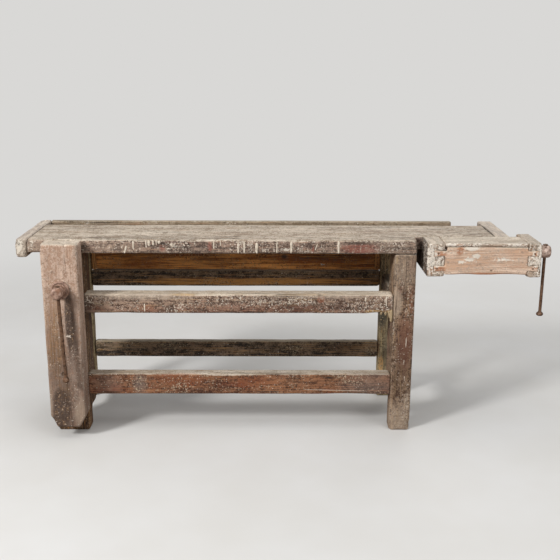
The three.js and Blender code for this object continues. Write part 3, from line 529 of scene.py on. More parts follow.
@dataclass
class Timber:
    """One worn timber, made from the solid of one node."""

    node: str
    body: Body
    finish: AgedTimber
    seed: int
    grid: float = 5.0
    rounding: int = 4
    chips: float = 3.0
    swell: float = 1.0
    soft_patches: tuple[SoftPatch, ...] = ()
    gouges: tuple[Gouge, ...] = ()
    piece: bpy.types.Object | None = field(default=None, init=False)

    def build(self) -> bpy.types.Object:
        """Makes the worn mesh.

        Returns:
            The mesh object, with its wear and stain attributes.
        """
        mesh = frame["nodes"][self.node].data.copy()
        skin = bmesh.new()
        skin.from_mesh(mesh)
        bmesh.ops.remove_doubles(skin, verts=skin.verts, dist=0.01 * MM)
        skin.to_mesh(mesh)
        skin.free()
        mesh.materials.clear()
        self.piece = mesh_object(f"worn_{self.node}", mesh)
        remesh = self.piece.modifiers.new("even_grid", "REMESH")
        remesh.mode = "VOXEL"
        remesh.voxel_size = self.grid * MM
        settle(self.piece)
        self.wear_down()
        return self.piece

    def wear_down(self) -> None:
        """Rounds the arrises, breaks chips and gouges out of them, and writes the attributes."""
        mesh = self.piece.data
        points = np.zeros(len(mesh.vertices) * 3)
        mesh.vertices.foreach_get("co", points)
        points = points.reshape(-1, 3)
        ends = np.zeros(len(mesh.edges) * 2, np.int32)
        mesh.edges.foreach_get("vertices", ends)
        ends = ends.reshape(-1, 2)
        fresh = points.copy()
        normals = self.normals(mesh)
        for _ in range(self.rounding):
            points = self.evened(points, ends)
        moved = ((fresh - points) * normals).sum(1) / MM
        wear = np.clip(moved / (0.45 * self.grid), 0, 1)
        wide = wear
        for _ in range(2):
            wide = self.evened(wide[:, None], ends)[:, 0]
        nicks = soft_noise(points, self.finish.grain.sizes(55, 18), self.seed)
        nicks = np.clip((nicks - 0.55) / 0.35, 0, 1) * np.clip(1.6 * wide, 0, 1)
        swell = soft_noise(points, self.finish.grain.sizes(260, 40), self.seed + 1)
        inward = self.chips * nicks + self.swell * swell
        for gouge in self.gouges:
            inward += gouge.depth * self.near(points, gouge.at, gouge.reach) ** 2
        mesh.vertices.foreach_set("co", (points - normals * inward[:, None] * MM).ravel())
        mesh.update()
        mesh.shade_smooth()
        stain = np.zeros((len(points), len(Mark)))
        for patch in self.soft_patches:
            shown = np.clip(patch.strength * self.near(points, patch.at, patch.reach), 0, 1)
            stain[:, patch.mark.value] = np.maximum(stain[:, patch.mark.value], shown)
        self.attribute("wear", "FLOAT", np.clip(wear + 0.6 * nicks, 0, 1))
        self.attribute("stain", "FLOAT_COLOR", stain[:, :4])
        self.attribute("dust", "FLOAT", stain[:, Mark.DUST.value])

    def attribute(self, name: str, kind: str, values: np.ndarray) -> None:
        """Writes one attribute of the mesh's corners.

        Args:
            name: the attribute's name.
            kind: its data type.
            values: one row for each vertex.
        """
        written = self.piece.data.attributes.new(name, kind, "POINT")
        written.data.foreach_set("color" if kind == "FLOAT_COLOR" else "value", values.astype(np.float32).ravel())

    @staticmethod
    def normals(mesh: bpy.types.Mesh) -> np.ndarray:
        """The mesh's vertex normals, one row each."""
        found = np.zeros(len(mesh.vertices) * 3, np.float32)
        mesh.vertex_normals.foreach_get("vector", found)
        return found.reshape(-1, 3).astype(float)

    @staticmethod
    def evened(values: np.ndarray, ends: np.ndarray) -> np.ndarray:
        """Values evened out with those of the neighbours.

        Args:
            values: one row for each vertex.
            ends: the two vertices of each edge.

        Returns:
            The evened values.
        """
        count = np.maximum(np.bincount(ends.ravel(), minlength=len(values)), 1)
        evened = np.empty_like(values)
        for column in range(values.shape[1]):
            both = values[ends[:, ::-1].ravel(), column]
            total = np.bincount(ends.ravel(), weights=both, minlength=len(values))
            evened[:, column] = 0.5 * values[:, column] + 0.5 * total / count
        return evened

    @staticmethod
    def near(points: np.ndarray, at: Triple, reach: Triple) -> np.ndarray:
        """How near points are to the middle of a soft patch.

        Args:
            points: places in metres.
            at: the patch's middle, in millimetres.
            reach: how far it reaches each way, in millimetres.

        Returns:
            1 at the middle, 0 beyond its reach.
        """
        away = ((points / MM - np.asarray(at)) / np.asarray(reach)) ** 2
        return np.clip(1 - away.sum(1), 0, 1)

    def dress(self, material: bpy.types.Material) -> None:
        """Puts the finish on the piece and lets it stand for its node."""
        finish_piece(self.piece, self.body, material, [self.node])


# Iron pieces


def turned(name: str, profile: Sequence[tuple[float, float]], place: Matrix, sides: int = 48) -> bpy.types.Object:
    """A round piece turned about its own Z axis.

    Args:
        name: the object's name.
        profile: pairs of radius and place along the axis, in millimetres, from one end to the other.
        place: where its axis and origin go.
        sides: how many sides it has.

    Returns:
        The mesh object, with its place in its mesh.
    """
    skin = bmesh.new()
    rings = []
    for radius, along in profile:
        turns = [2 * math.pi * side / sides for side in range(sides)] if radius > 0 else [0.0]
        rings.append([skin.verts.new((radius * MM * math.cos(t), radius * MM * math.sin(t), along * MM)) for t in turns])
    for near, far in itertools.pairwise(rings):
        for side in range(sides):
            following = (side + 1) % sides
            corners = [near[side % len(near)], near[following % len(near)],
                       far[following % len(far)], far[side % len(far)]]
            skin.faces.new(list(dict.fromkeys(corners)))
    bmesh.ops.recalc_face_normals(skin, faces=skin.faces)
    mesh = bpy.data.meshes.new(name)
    skin.to_mesh(mesh)
    skin.free()
    mesh.transform(place)
    mesh.shade_smooth()
    mesh.set_sharp_from_angle(angle=math.radians(35))
    return mesh_object(name, mesh)


def hammer(piece: bpy.types.Object, depth: float, seed: int) -> None:
    """Dents a forged piece a little, inwards.

    Args:
        piece: the mesh object.
        depth: the deepest dent, in millimetres.
        seed: which dents.
    """
    mesh = piece.data
    points = np.zeros(len(mesh.vertices) * 3)
    mesh.vertices.foreach_get("co", points)
    points = points.reshape(-1, 3)
    dents = soft_noise(points, (9, 9, 9), seed) * depth * MM
    mesh.vertices.foreach_set("co", (points - Timber.normals(mesh) * dents[:, None]).ravel())
    mesh.update()


def bored(piece: bpy.types.Object, profile: Sequence[tuple[float, float]], place: Matrix) -> None:
    """Cuts a round hole out of a piece.

    Args:
        piece: the mesh object.
        profile: the hole's radius and place along its axis, in millimetres.
        place: where the hole's axis and origin go.
    """
    cutter = turned("cutter", profile, place, 32)
    cut = piece.modifiers.new("bore", "BOOLEAN")
    cut.operation = "DIFFERENCE"
    cut.solver = "EXACT"
    cut.object = cutter
    settle(piece)
    bpy.data.objects.remove(cutter)
    piece.data.shade_smooth()
    piece.data.set_sharp_from_angle(angle=math.radians(35))


def eased_solid(node: str, ease: float) -> bpy.types.Object:
    """A copy of a solid with its edges eased.

    Args:
        node: the solid's node.
        ease: the width of the eased edge, in millimetres.

    Returns:
        The mesh object.
    """
    mesh = frame["nodes"][node].data.copy()
    skin = bmesh.new()
    skin.from_mesh(mesh)
    bmesh.ops.remove_doubles(skin, verts=skin.verts, dist=0.01 * MM)
    bmesh.ops.dissolve_limit(skin, angle_limit=math.radians(1), verts=skin.verts, edges=skin.edges)
    skin.to_mesh(mesh)
    skin.free()
    mesh.materials.clear()
    piece = mesh_object(f"eased_{node}", mesh)
    bevel = piece.modifiers.new("eased", "BEVEL")
    bevel.width = ease * MM
    bevel.segments = 2
    bevel.limit_method = "ANGLE"
    bevel.angle_limit = math.radians(40)
    settle(piece)
    piece.data.shade_smooth()
    piece.data.set_sharp_from_angle(angle=math.radians(50))
    return piece


# Geometry Nodes


class GeometryTree:
    """A Geometry Nodes tree with named inputs, which makes one plain mesh at a time."""

    def __init__(self, name: str, inputs: dict[str, str]) -> None:
        """Starts the tree.

        Args:
            name: the tree's name.
            inputs: each input's name to its socket type, apart from the geometry and the material.
        """
        self.tree = bpy.data.node_groups.new(name, "GeometryNodeTree")
        self.ids: dict[str, str] = {}
        kinds = {"Geometry": "NodeSocketGeometry", **inputs, "Material": "NodeSocketMaterial"}
        for label, kind in kinds.items():
            socket = self.tree.interface.new_socket(label, in_out="INPUT", socket_type=kind)
            self.ids[label] = socket.identifier
        self.tree.interface.new_socket("Geometry", in_out="OUTPUT", socket_type="NodeSocketGeometry")
        self.given = add_node(self.tree, "NodeGroupInput").outputs

    def close(self, geometry: bpy.types.NodeSocket) -> None:
        """Ends the tree: instances become real, smooth and take the material."""
        real = add_node(self.tree, "GeometryNodeRealizeInstances", {"Geometry": geometry})
        smooth = add_node(self.tree, "GeometryNodeSetShadeSmooth", {"Geometry": real.outputs[0]})
        coated = add_node(self.tree, "GeometryNodeSetMaterial", {
            "Geometry": smooth.outputs[0], "Material": self.given["Material"]})
        add_node(self.tree, "NodeGroupOutput", {0: coated.outputs[0]})

    def run(self, name: str, mesh: bpy.types.Mesh, values: dict[str, object]) -> bpy.types.Object:
        """Runs the tree once.

        Args:
            name: the name of the piece that it makes.
            mesh: the mesh that it starts from.
            values: each input's name to its value.

        Returns:
            The mesh object that it made.
        """
        piece = mesh_object(name, mesh)
        modifier = piece.modifiers.new("grown", "NODES")
        modifier.node_group = self.tree
        for label, value in values.items():
            modifier[self.ids[label]] = value
        settle(piece)
        return piece


class ThreadTree(GeometryTree):
    """A right-hand screw thread: a rounded ridge wound round a core along Z."""

    def __init__(self) -> None:
        """Builds the tree."""
        super().__init__("screw_thread", {
            "Radius": "NodeSocketFloat", "Ridge": "NodeSocketFloat", "Turns": "NodeSocketFloat",
            "Length": "NodeSocketFloat", "Turn": "NodeSocketRotation", "Place": "NodeSocketVector"})
        given = self.given
        spiral = add_node(self.tree, "GeometryNodeCurveSpiral", {
            "Resolution": 24, "Rotations": given["Turns"], "Start Radius": given["Radius"],
            "End Radius": given["Radius"], "Height": given["Length"]})
        profile = add_node(self.tree, "GeometryNodeCurvePrimitiveCircle", {"Resolution": 8, "Radius": given["Ridge"]})
        ridge = add_node(self.tree, "GeometryNodeCurveToMesh", {
            "Curve": spiral.outputs[0], "Profile Curve": profile.outputs[0], "Fill Caps": True})
        laid = add_node(self.tree, "GeometryNodeTransform", {
            "Geometry": ridge.outputs[0], "Translation": given["Place"], "Rotation": given["Turn"]})
        self.close(laid.outputs[0])


class FastenerTree(GeometryTree):
    """Copies of one fastener at points, each spun a little differently about its own axis."""

    def __init__(self) -> None:
        """Builds the tree."""
        super().__init__("fasteners", {
            "Fastener": "NodeSocketObject", "Lean": "NodeSocketFloat", "Seed": "NodeSocketInt"})
        given = self.given
        shape = add_node(self.tree, "GeometryNodeObjectInfo", {"Object": given["Fastener"], "As Instance": True})
        spin = add_node(self.tree, "FunctionNodeRandomValue", {"Min_001": 0.0, "Max_001": 6.283, "Seed": given["Seed"]})
        least = add_node(self.tree, "ShaderNodeMath", {0: given["Lean"], 1: -1.0}, operation="MULTIPLY")
        lean = add_node(self.tree, "FunctionNodeRandomValue", {
            "Min_001": least.outputs[0], "Max_001": given["Lean"], "Seed": given["Seed"]})
        aim = add_node(self.tree, "GeometryNodeInputNamedAttribute", {"Name": "aim"}, data_type="FLOAT_VECTOR")
        facing = add_node(self.tree, "FunctionNodeAlignRotationToVector", {"Vector": aim.outputs[0]}, axis="Z")
        turn = add_node(self.tree, "ShaderNodeCombineXYZ", {"X": lean.outputs[1], "Z": spin.outputs[1]})
        spun = add_node(self.tree, "FunctionNodeEulerToRotation", {0: turn.outputs[0]})
        both = add_node(self.tree, "FunctionNodeRotateRotation", {
            0: facing.outputs[0], 1: spun.outputs[0]}, rotation_space="LOCAL")
        placed = add_node(self.tree, "GeometryNodeInstanceOnPoints", {
            "Points": given["Geometry"], "Instance": shape.outputs["Geometry"], "Rotation": both.outputs[0]})
        self.close(placed.outputs[0])

    def place(
        self, name: str, fastener: bpy.types.Object, spots: Sequence[Place], aims: Sequence[Triple],
        lean: float, seed: int, material: bpy.types.Material,
    ) -> bpy.types.Object:
        """Sets fasteners at points.

        Args:
            name: the name of the piece.
            fastener: one fastener, its head along +Z, at the origin; it is taken away afterwards.
            spots: where each one sits, in metres.
            aims: the way each head points.
            lean: how far they may lean, in radians.
            seed: which leans and spins.
            material: their material.

        Returns:
            One mesh object that holds them all.
        """
        mesh = bpy.data.meshes.new(name)
        mesh.from_pydata([tuple(spot) for spot in spots], [], [])
        aim = mesh.attributes.new("aim", "FLOAT_VECTOR", "POINT")
        aim.data.foreach_set("vector", np.asarray(aims, np.float32).ravel())
        made = self.run(name, mesh, {"Fastener": fastener, "Lean": lean, "Seed": seed, "Material": material})
        bpy.data.objects.remove(fastener)
        made.data.set_sharp_from_angle(angle=math.radians(35))
        return made


class RunTree(GeometryTree):
    """Runs of plaster down a face that looks to the front: swept lines, pressed flat against it."""

    def __init__(self) -> None:
        """Builds the tree."""
        super().__init__("plaster_runs", {"Flatness": "NodeSocketFloat", "Face": "NodeSocketFloat"})
        given = self.given
        line = add_node(self.tree, "GeometryNodeMeshToCurve", {"Mesh": given["Geometry"]})
        half = add_node(self.tree, "GeometryNodeInputNamedAttribute", {"Name": "half"}, data_type="FLOAT")
        profile = add_node(self.tree, "GeometryNodeCurvePrimitiveCircle", {"Resolution": 8, "Radius": 1.0})
        swept = add_node(self.tree, "GeometryNodeCurveToMesh", {
            "Curve": line.outputs[0], "Profile Curve": profile.outputs[0], "Scale": half.outputs[0],
            "Fill Caps": True})
        thin = add_node(self.tree, "ShaderNodeCombineXYZ", {"X": 1.0, "Y": given["Flatness"], "Z": 1.0})
        there = add_node(self.tree, "ShaderNodeCombineXYZ", {"Y": given["Face"]})
        pressed = add_node(self.tree, "GeometryNodeTransform", {
            "Geometry": swept.outputs[0], "Translation": there.outputs[0], "Scale": thin.outputs[0]})
        self.close(pressed.outputs[0])


class SpatterTree(GeometryTree):
    """Flat drops scattered over the faces of a timber that show the splash attribute."""

    def __init__(self) -> None:
        """Builds the tree."""
        super().__init__("plaster_spatter", {
            "Density": "NodeSocketFloat", "Least": "NodeSocketVector", "Greatest": "NodeSocketVector",
            "Seed": "NodeSocketInt"})
        given = self.given
        splash = add_node(self.tree, "GeometryNodeInputNamedAttribute", {"Name": "splash"}, data_type="FLOAT")
        share = add_node(self.tree, "ShaderNodeMath", {0: splash.outputs[0], 1: given["Density"]}, operation="MULTIPLY")
        drops = add_node(self.tree, "GeometryNodeDistributePointsOnFaces", {
            "Mesh": given["Geometry"], "Density": share.outputs[0], "Seed": given["Seed"]})
        size = add_node(self.tree, "FunctionNodeRandomValue", {
            "Min": given["Least"], "Max": given["Greatest"], "Seed": given["Seed"]}, data_type="FLOAT_VECTOR")
        spin = add_node(self.tree, "FunctionNodeRandomValue", {"Min_001": 0.0, "Max_001": 6.283, "Seed": given["Seed"]})
        turn = add_node(self.tree, "ShaderNodeCombineXYZ", {"Z": spin.outputs[1]})
        spun = add_node(self.tree, "FunctionNodeEulerToRotation", {0: turn.outputs[0]})
        lying = add_node(self.tree, "FunctionNodeRotateRotation", {
            0: drops.outputs["Rotation"], 1: spun.outputs[0]}, rotation_space="LOCAL")
        drop = add_node(self.tree, "GeometryNodeMeshIcoSphere", {"Radius": 1.0, "Subdivisions": 1})
        placed = add_node(self.tree, "GeometryNodeInstanceOnPoints", {
            "Points": drops.outputs[0], "Instance": drop.outputs[0], "Rotation": lying.outputs[0],
            "Scale": size.outputs[0]})
        self.close(placed.outputs[0])


@dataclass(frozen=True)
class Run:
    """One run of plaster, in millimetres: where it starts, how far it falls and leans, and its width."""

    x: float
    top: float
    bottom: float
    width: float
    lean: float = 0.0


def run_lines(runs: Sequence[Run], seed: int) -> bpy.types.Mesh:
    """The middle lines of runs as a mesh of edges.

    Args:
        runs: the runs.
        seed: how they waver.

    Returns:
        A mesh with the half width of each point, in the plane Y = 0.
    """
    chance = np.random.default_rng(seed)
    points, edges, halves = [], [], []
    steps = 9
    for run in runs:
        first = len(points)
        for step in range(steps):
            share = step / (steps - 1)
            taper = math.sin(math.pi * min(0.5, 0.12 + 1.5 * share)) * (1 - 0.35 * share)
            end = 0.25 if step in (0, steps - 1) else 1.0
            waver = chance.normal(0, 0.05) * run.width
            points.append(((run.x + run.lean * share + waver) * MM, 0.0, (run.top + (run.bottom - run.top) * share) * MM))
            halves.append(0.5 * run.width * MM * taper * end * chance.uniform(0.8, 1.15))
        edges += [(first + step, first + step + 1) for step in range(steps - 1)]
    mesh = bpy.data.meshes.new("run_lines")
    mesh.from_pydata(points, edges, [])
    half = mesh.attributes.new("half", "FLOAT", "POINT")
    half.data.foreach_set("value", np.asarray(halves, np.float32))
    return mesh


def splash_on(timber: Timber, share: np.ndarray) -> None:
    """Says where a timber is splashed.

    Args:
        timber: the built timber.
        share: how thickly the drops lie, for each vertex.
    """
    timber.attribute("splash", "FLOAT", share)


def joined(timbers: Sequence[Timber]) -> bpy.types.Mesh:
    """The meshes of several timbers as one mesh, with their splash attribute."""
    skin = bmesh.new()
    for timber in timbers:
        skin.from_mesh(timber.piece.data)
    mesh = bpy.data.meshes.new("splashed")
    skin.to_mesh(mesh)
    skin.free()
    return mesh


class Head(Enum):
    """The kinds of fastener heads, each with its height, sides and lean."""

    NAIL = (1.6, 20, 0.12)
    BOLT = (6.0, 6, 0.02)
    SCREW = (2.5, 24, 0.03)

    @property
    def height(self) -> float:
        """How far the head stands out, in millimetres."""
        return self.value[0]

    @property
    def sides(self) -> int:
        """How many sides the head has."""
        return self.value[1]

    @property
    def lean(self) -> float:
        """How far the fastener may lean, in radians."""
        return self.value[2]

    def profile(self, radius: float) -> list[tuple[float, float]]:
        """The head's profile.

        Args:
            radius: the head's radius, in millimetres.

        Returns:
            Pairs of radius and height, from the top of the head down its shank.
        """
        return [
            (0.0, self.height), (0.55 * radius, 0.96 * self.height), (0.85 * radius, 0.75 * self.height),
            (radius, 0.4 * self.height), (radius, 0.0), (0.5 * radius, -0.3), (0.45 * radius, -3.5), (0.0, -4.0),
        ]


class Workshop:
    """The materials and the node trees that the sub-assemblies share."""

    def __init__(self) -> None:
        """Makes the shared materials and trees."""
        self.iron = RustedIron().material()
        self.bar_iron = RustedIron(
            "forged_iron_bar_brown_rust", dark="#452f1f", light="#83644d", rust="#6b482e", rubbed="#9c7c65").material()
        # A lighter copy of the rusted iron for the tail hub: painted light on a hub that the end block shades.
        self.lit_hub_iron = RustedIron(
            "forged_iron_hub_rubbed", dark="#76594a", light="#ecd2c2", rust="#a07a64", rubbed="#f4dfd1").material()
        self.plaster = DriedPlaster("lime_plaster_dried", "#e9decd", "#c6b8a4").material()
        self.glue = DriedPlaster("hide_glue_dried", "#bda887", "#95805f").material()
        self.thread = ThreadTree()
        self.fasteners = FastenerTree()
        self.runs = RunTree()
        self.spatter = SpatterTree()
        self.coats: dict[AgedTimber, bpy.types.Material] = {}

    def coat(self, finish: AgedTimber) -> bpy.types.Material:
        """The material of a timber finish, made once."""
        if finish not in self.coats:
            self.coats[finish] = finish.material()
        return self.coats[finish]

    def splash(self, name: str, timbers: Sequence[Timber], body: Body, density: float, seed: int) -> None:
        """Spatters timbers of one body.

        Args:
            name: the name of the piece.
            timbers: the built timbers, with their splash attribute.
            body: the body that they belong to.
            density: drops on a square metre where the splash is thickest.
            seed: which drops.
        """
        piece = self.spatter.run(name, joined(timbers), {
            "Density": density, "Least": (0.8 * MM, 0.7 * MM, 0.2 * MM), "Greatest": (2.6 * MM, 2.0 * MM, 0.6 * MM),
            "Seed": seed, "Material": self.plaster})
        finish_piece(piece, body, None)

    def fasten(
        self, name: str, nodes: Sequence[str], aim: Triple, head: Head, body: Body, seed: int,
    ) -> None:
        """Sets fasteners where the solids of some nodes are.

        Args:
            name: the name of the piece.
            nodes: the solids, one for each fastener.
            aim: the way that the heads point, along one axis.
            head: the kind of head.
            body: the body that they ride on.
            seed: how they lean and turn.
        """
        axis = int(np.argmax(np.abs(aim)))
        spots = []
        for node in nodes:
            low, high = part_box(node)
            spot = (low + high) / 2
            spot[axis] = (high if aim[axis] > 0 else low)[axis] - aim[axis] * head.height * MM
            spots.append(spot)
        size = min((high - low)[other] for other in range(3) if other != axis) / 2 / MM
        shape = turned(f"{name}_one", head.profile(size), Matrix.Identity(4), head.sides)
        iron = self.bar_iron if head is Head.NAIL else self.iron
        made = self.fasteners.place(name, shape, spots, [aim] * len(spots), head.lean, seed, iron)
        finish_piece(made, body, None, nodes)


@dataclass
class Spindle:
    """A vise screw with its hub, and the tommy bar that hangs through it. Lengths are in millimetres."""

    name: str
    screw_body: Body
    bar_body: Body
    end: Triple
    inward: Matrix
    hub: float
    hub_length: float
    shaft: float
    groove: float
    reach: float
    bar: float
    hang: float
    knob: float
    knob_height: float
    tilt: float
    seed: int
    collar_rim: float = 2.0
    collar_length: float = 7.0
    groove_width: float = 8.6
    groove_depth: float = 4.0
    thread_pitch: float = 10.0
    thread_depth: float = 2.5
    bar_hole_fit: float = 0.6
    head_rim: float = 4.0
    head_height: float = 5.0
    # True gives the screw a lighter copy of the iron: light painted on a hub that the end block shades.
    rubbed: bool = False

    def place(self) -> Matrix:
        """Where the screw's outer end and axis go."""
        return Matrix.Translation(Vector(self.end) * MM) @ self.inward

    def bar_place(self) -> Matrix:
        """Where the bar crosses the screw's axis, and how it leans."""
        middle = self.place() @ Vector((0, 0, self.hub_length / 2 * MM))
        return Matrix.Translation(middle) @ Matrix.Rotation(self.tilt, 4, "Y")

    def build(self, shop: Workshop) -> None:
        """Makes the screw, its thread and the bar.

        Args:
            shop: the shared materials and trees.
        """
        hub, collar = self.hub, self.hub_length
        back = collar + self.collar_length
        rim = hub + self.collar_rim
        root = self.shaft - self.thread_depth - 0.2
        thread_from = self.groove + self.groove_width + self.thread_depth
        screw = turned(f"{self.name}_screw_turned", [
            (0, 0.6), (0.3 * hub, 0.3), (hub - 8.5, 0.4), (hub - 4.8, 1.5), (hub - 2.2, 4.2), (hub - 0.7, 7.2),
            (hub, 10.5), (hub, 0.4 * collar), (hub, 0.7 * collar), (hub, collar - 1.5), (hub + 0.6, collar + 0.6),
            (rim - 0.4, collar + 2.0), (rim, collar + 3.4), (rim, back - 0.8), (rim - 0.8, back), (self.shaft, back),
            (self.shaft, self.groove), (self.shaft - self.groove_depth, self.groove + 0.1),
            (self.shaft - self.groove_depth, self.groove + self.groove_width),
            (self.shaft, self.groove + self.groove_width), (self.shaft, self.groove + self.groove_width + 0.4),
            (root, thread_from), (root, self.reach - 2.5), (root - 2.5, self.reach), (0, self.reach),
        ], self.place(), 56)
        hammer(screw, 0.5, self.seed)
        bored(screw, [(0, -2 * hub), (self.bar + self.bar_hole_fit, -2 * hub),
                      (self.bar + self.bar_hole_fit, 2 * hub), (0, 2 * hub)], self.bar_place())
        # The lighter copy paints light on the tail hub, which the end block shades from the key lamp.
        iron = shop.lit_hub_iron if self.rubbed else shop.iron
        finish_piece(screw, self.screw_body, iron, [f"{self.name}_screw"])
        length = self.reach - 6.0 - thread_from
        start = self.place() @ Vector((0, 0, thread_from * MM))
        ridge = shop.thread.run(f"{self.name}_screw_thread", bpy.data.meshes.new("none"), {
            "Radius": (self.shaft - self.thread_depth) * MM, "Ridge": (self.thread_depth - 0.1) * MM,
            "Turns": length / self.thread_pitch, "Length": length * MM,
            "Turn": self.inward.to_euler(), "Place": start, "Material": shop.iron})
        finish_piece(ridge, self.screw_body, None)
        self.build_bar(shop)

    def build_bar(self, shop: Workshop) -> None:
        """Makes the tommy bar with its forged knob and riveted head.

        Args:
            shop: the shared materials and trees.
        """
        bar, knob, low, tall = self.bar, self.knob, -self.hang, self.knob_height
        seat = self.hub + 0.3
        shank = [(bar, low + tall + 3 + share * (seat - low - tall - 3)) for share in np.linspace(0, 1, 40)]
        head = bar + self.head_rim
        piece = turned(f"{self.name}_bar_forged", [
            (0, low), (0.5 * knob, low), (knob - 3.5, low + 0.06 * tall), (knob - 1.0, low + 0.2 * tall),
            (knob, low + 0.4 * tall), (knob - 0.4, low + 0.62 * tall), (knob - 2.2, low + 0.82 * tall),
            (bar + 1.6, low + tall), *shank, (head - 0.6, seat + 0.1), (head, seat + 1.4),
            (head - 1.6, seat + 3.4), (0.5 * bar, seat + self.head_height), (0, seat + self.head_height),
        ], self.bar_place(), 28)
        hammer(piece, 0.6, self.seed + 5)
        finish_piece(piece, self.bar_body, shop.bar_iron, [f"{self.name}_bar", f"{self.name}_bar_head"])


def turned_plate(name: str, rings: Sequence[tuple[float, float]], place: Matrix) -> bpy.types.Object:
    """A turned round plate with a hole: its profile goes all the way round.

    Args:
        name: the object's name.
        rings: pairs of radius and place along the axis, in millimetres.
        place: where its axis and origin go.

    Returns:
        The mesh object.
    """
    piece = turned(name, [*rings, rings[0]], place, 56)
    skin = bmesh.new()
    skin.from_mesh(piece.data)
    bmesh.ops.remove_doubles(skin, verts=skin.verts, dist=0.001 * MM)
    bmesh.ops.recalc_face_normals(skin, faces=skin.faces)
    skin.to_mesh(piece.data)
    skin.free()
    piece.data.shade_smooth()
    piece.data.set_sharp_from_angle(angle=math.radians(35))
    return piece


# Sub-assemblies


def facing(timber: Timber, way: Triple) -> np.ndarray:
    """How far each vertex of a built timber looks one way, from 0 to 1."""
    return np.clip(Timber.normals(timber.piece.data) @ np.asarray(way), 0, 1)


def spots_of(timber: Timber) -> np.ndarray:
    """The vertices of a built timber, in metres."""
    points = np.zeros(len(timber.piece.data.vertices) * 3)
    timber.piece.data.vertices.foreach_get("co", points)
    return points.reshape(-1, 3)


def cloudy(timber: Timber, size: float, seed: int) -> np.ndarray:
    """Where a timber is splashed: a few clouds of a size in millimetres."""
    return np.clip((soft_noise(spots_of(timber), (size, size, size), seed) - 0.45) / 0.4, 0, 1)


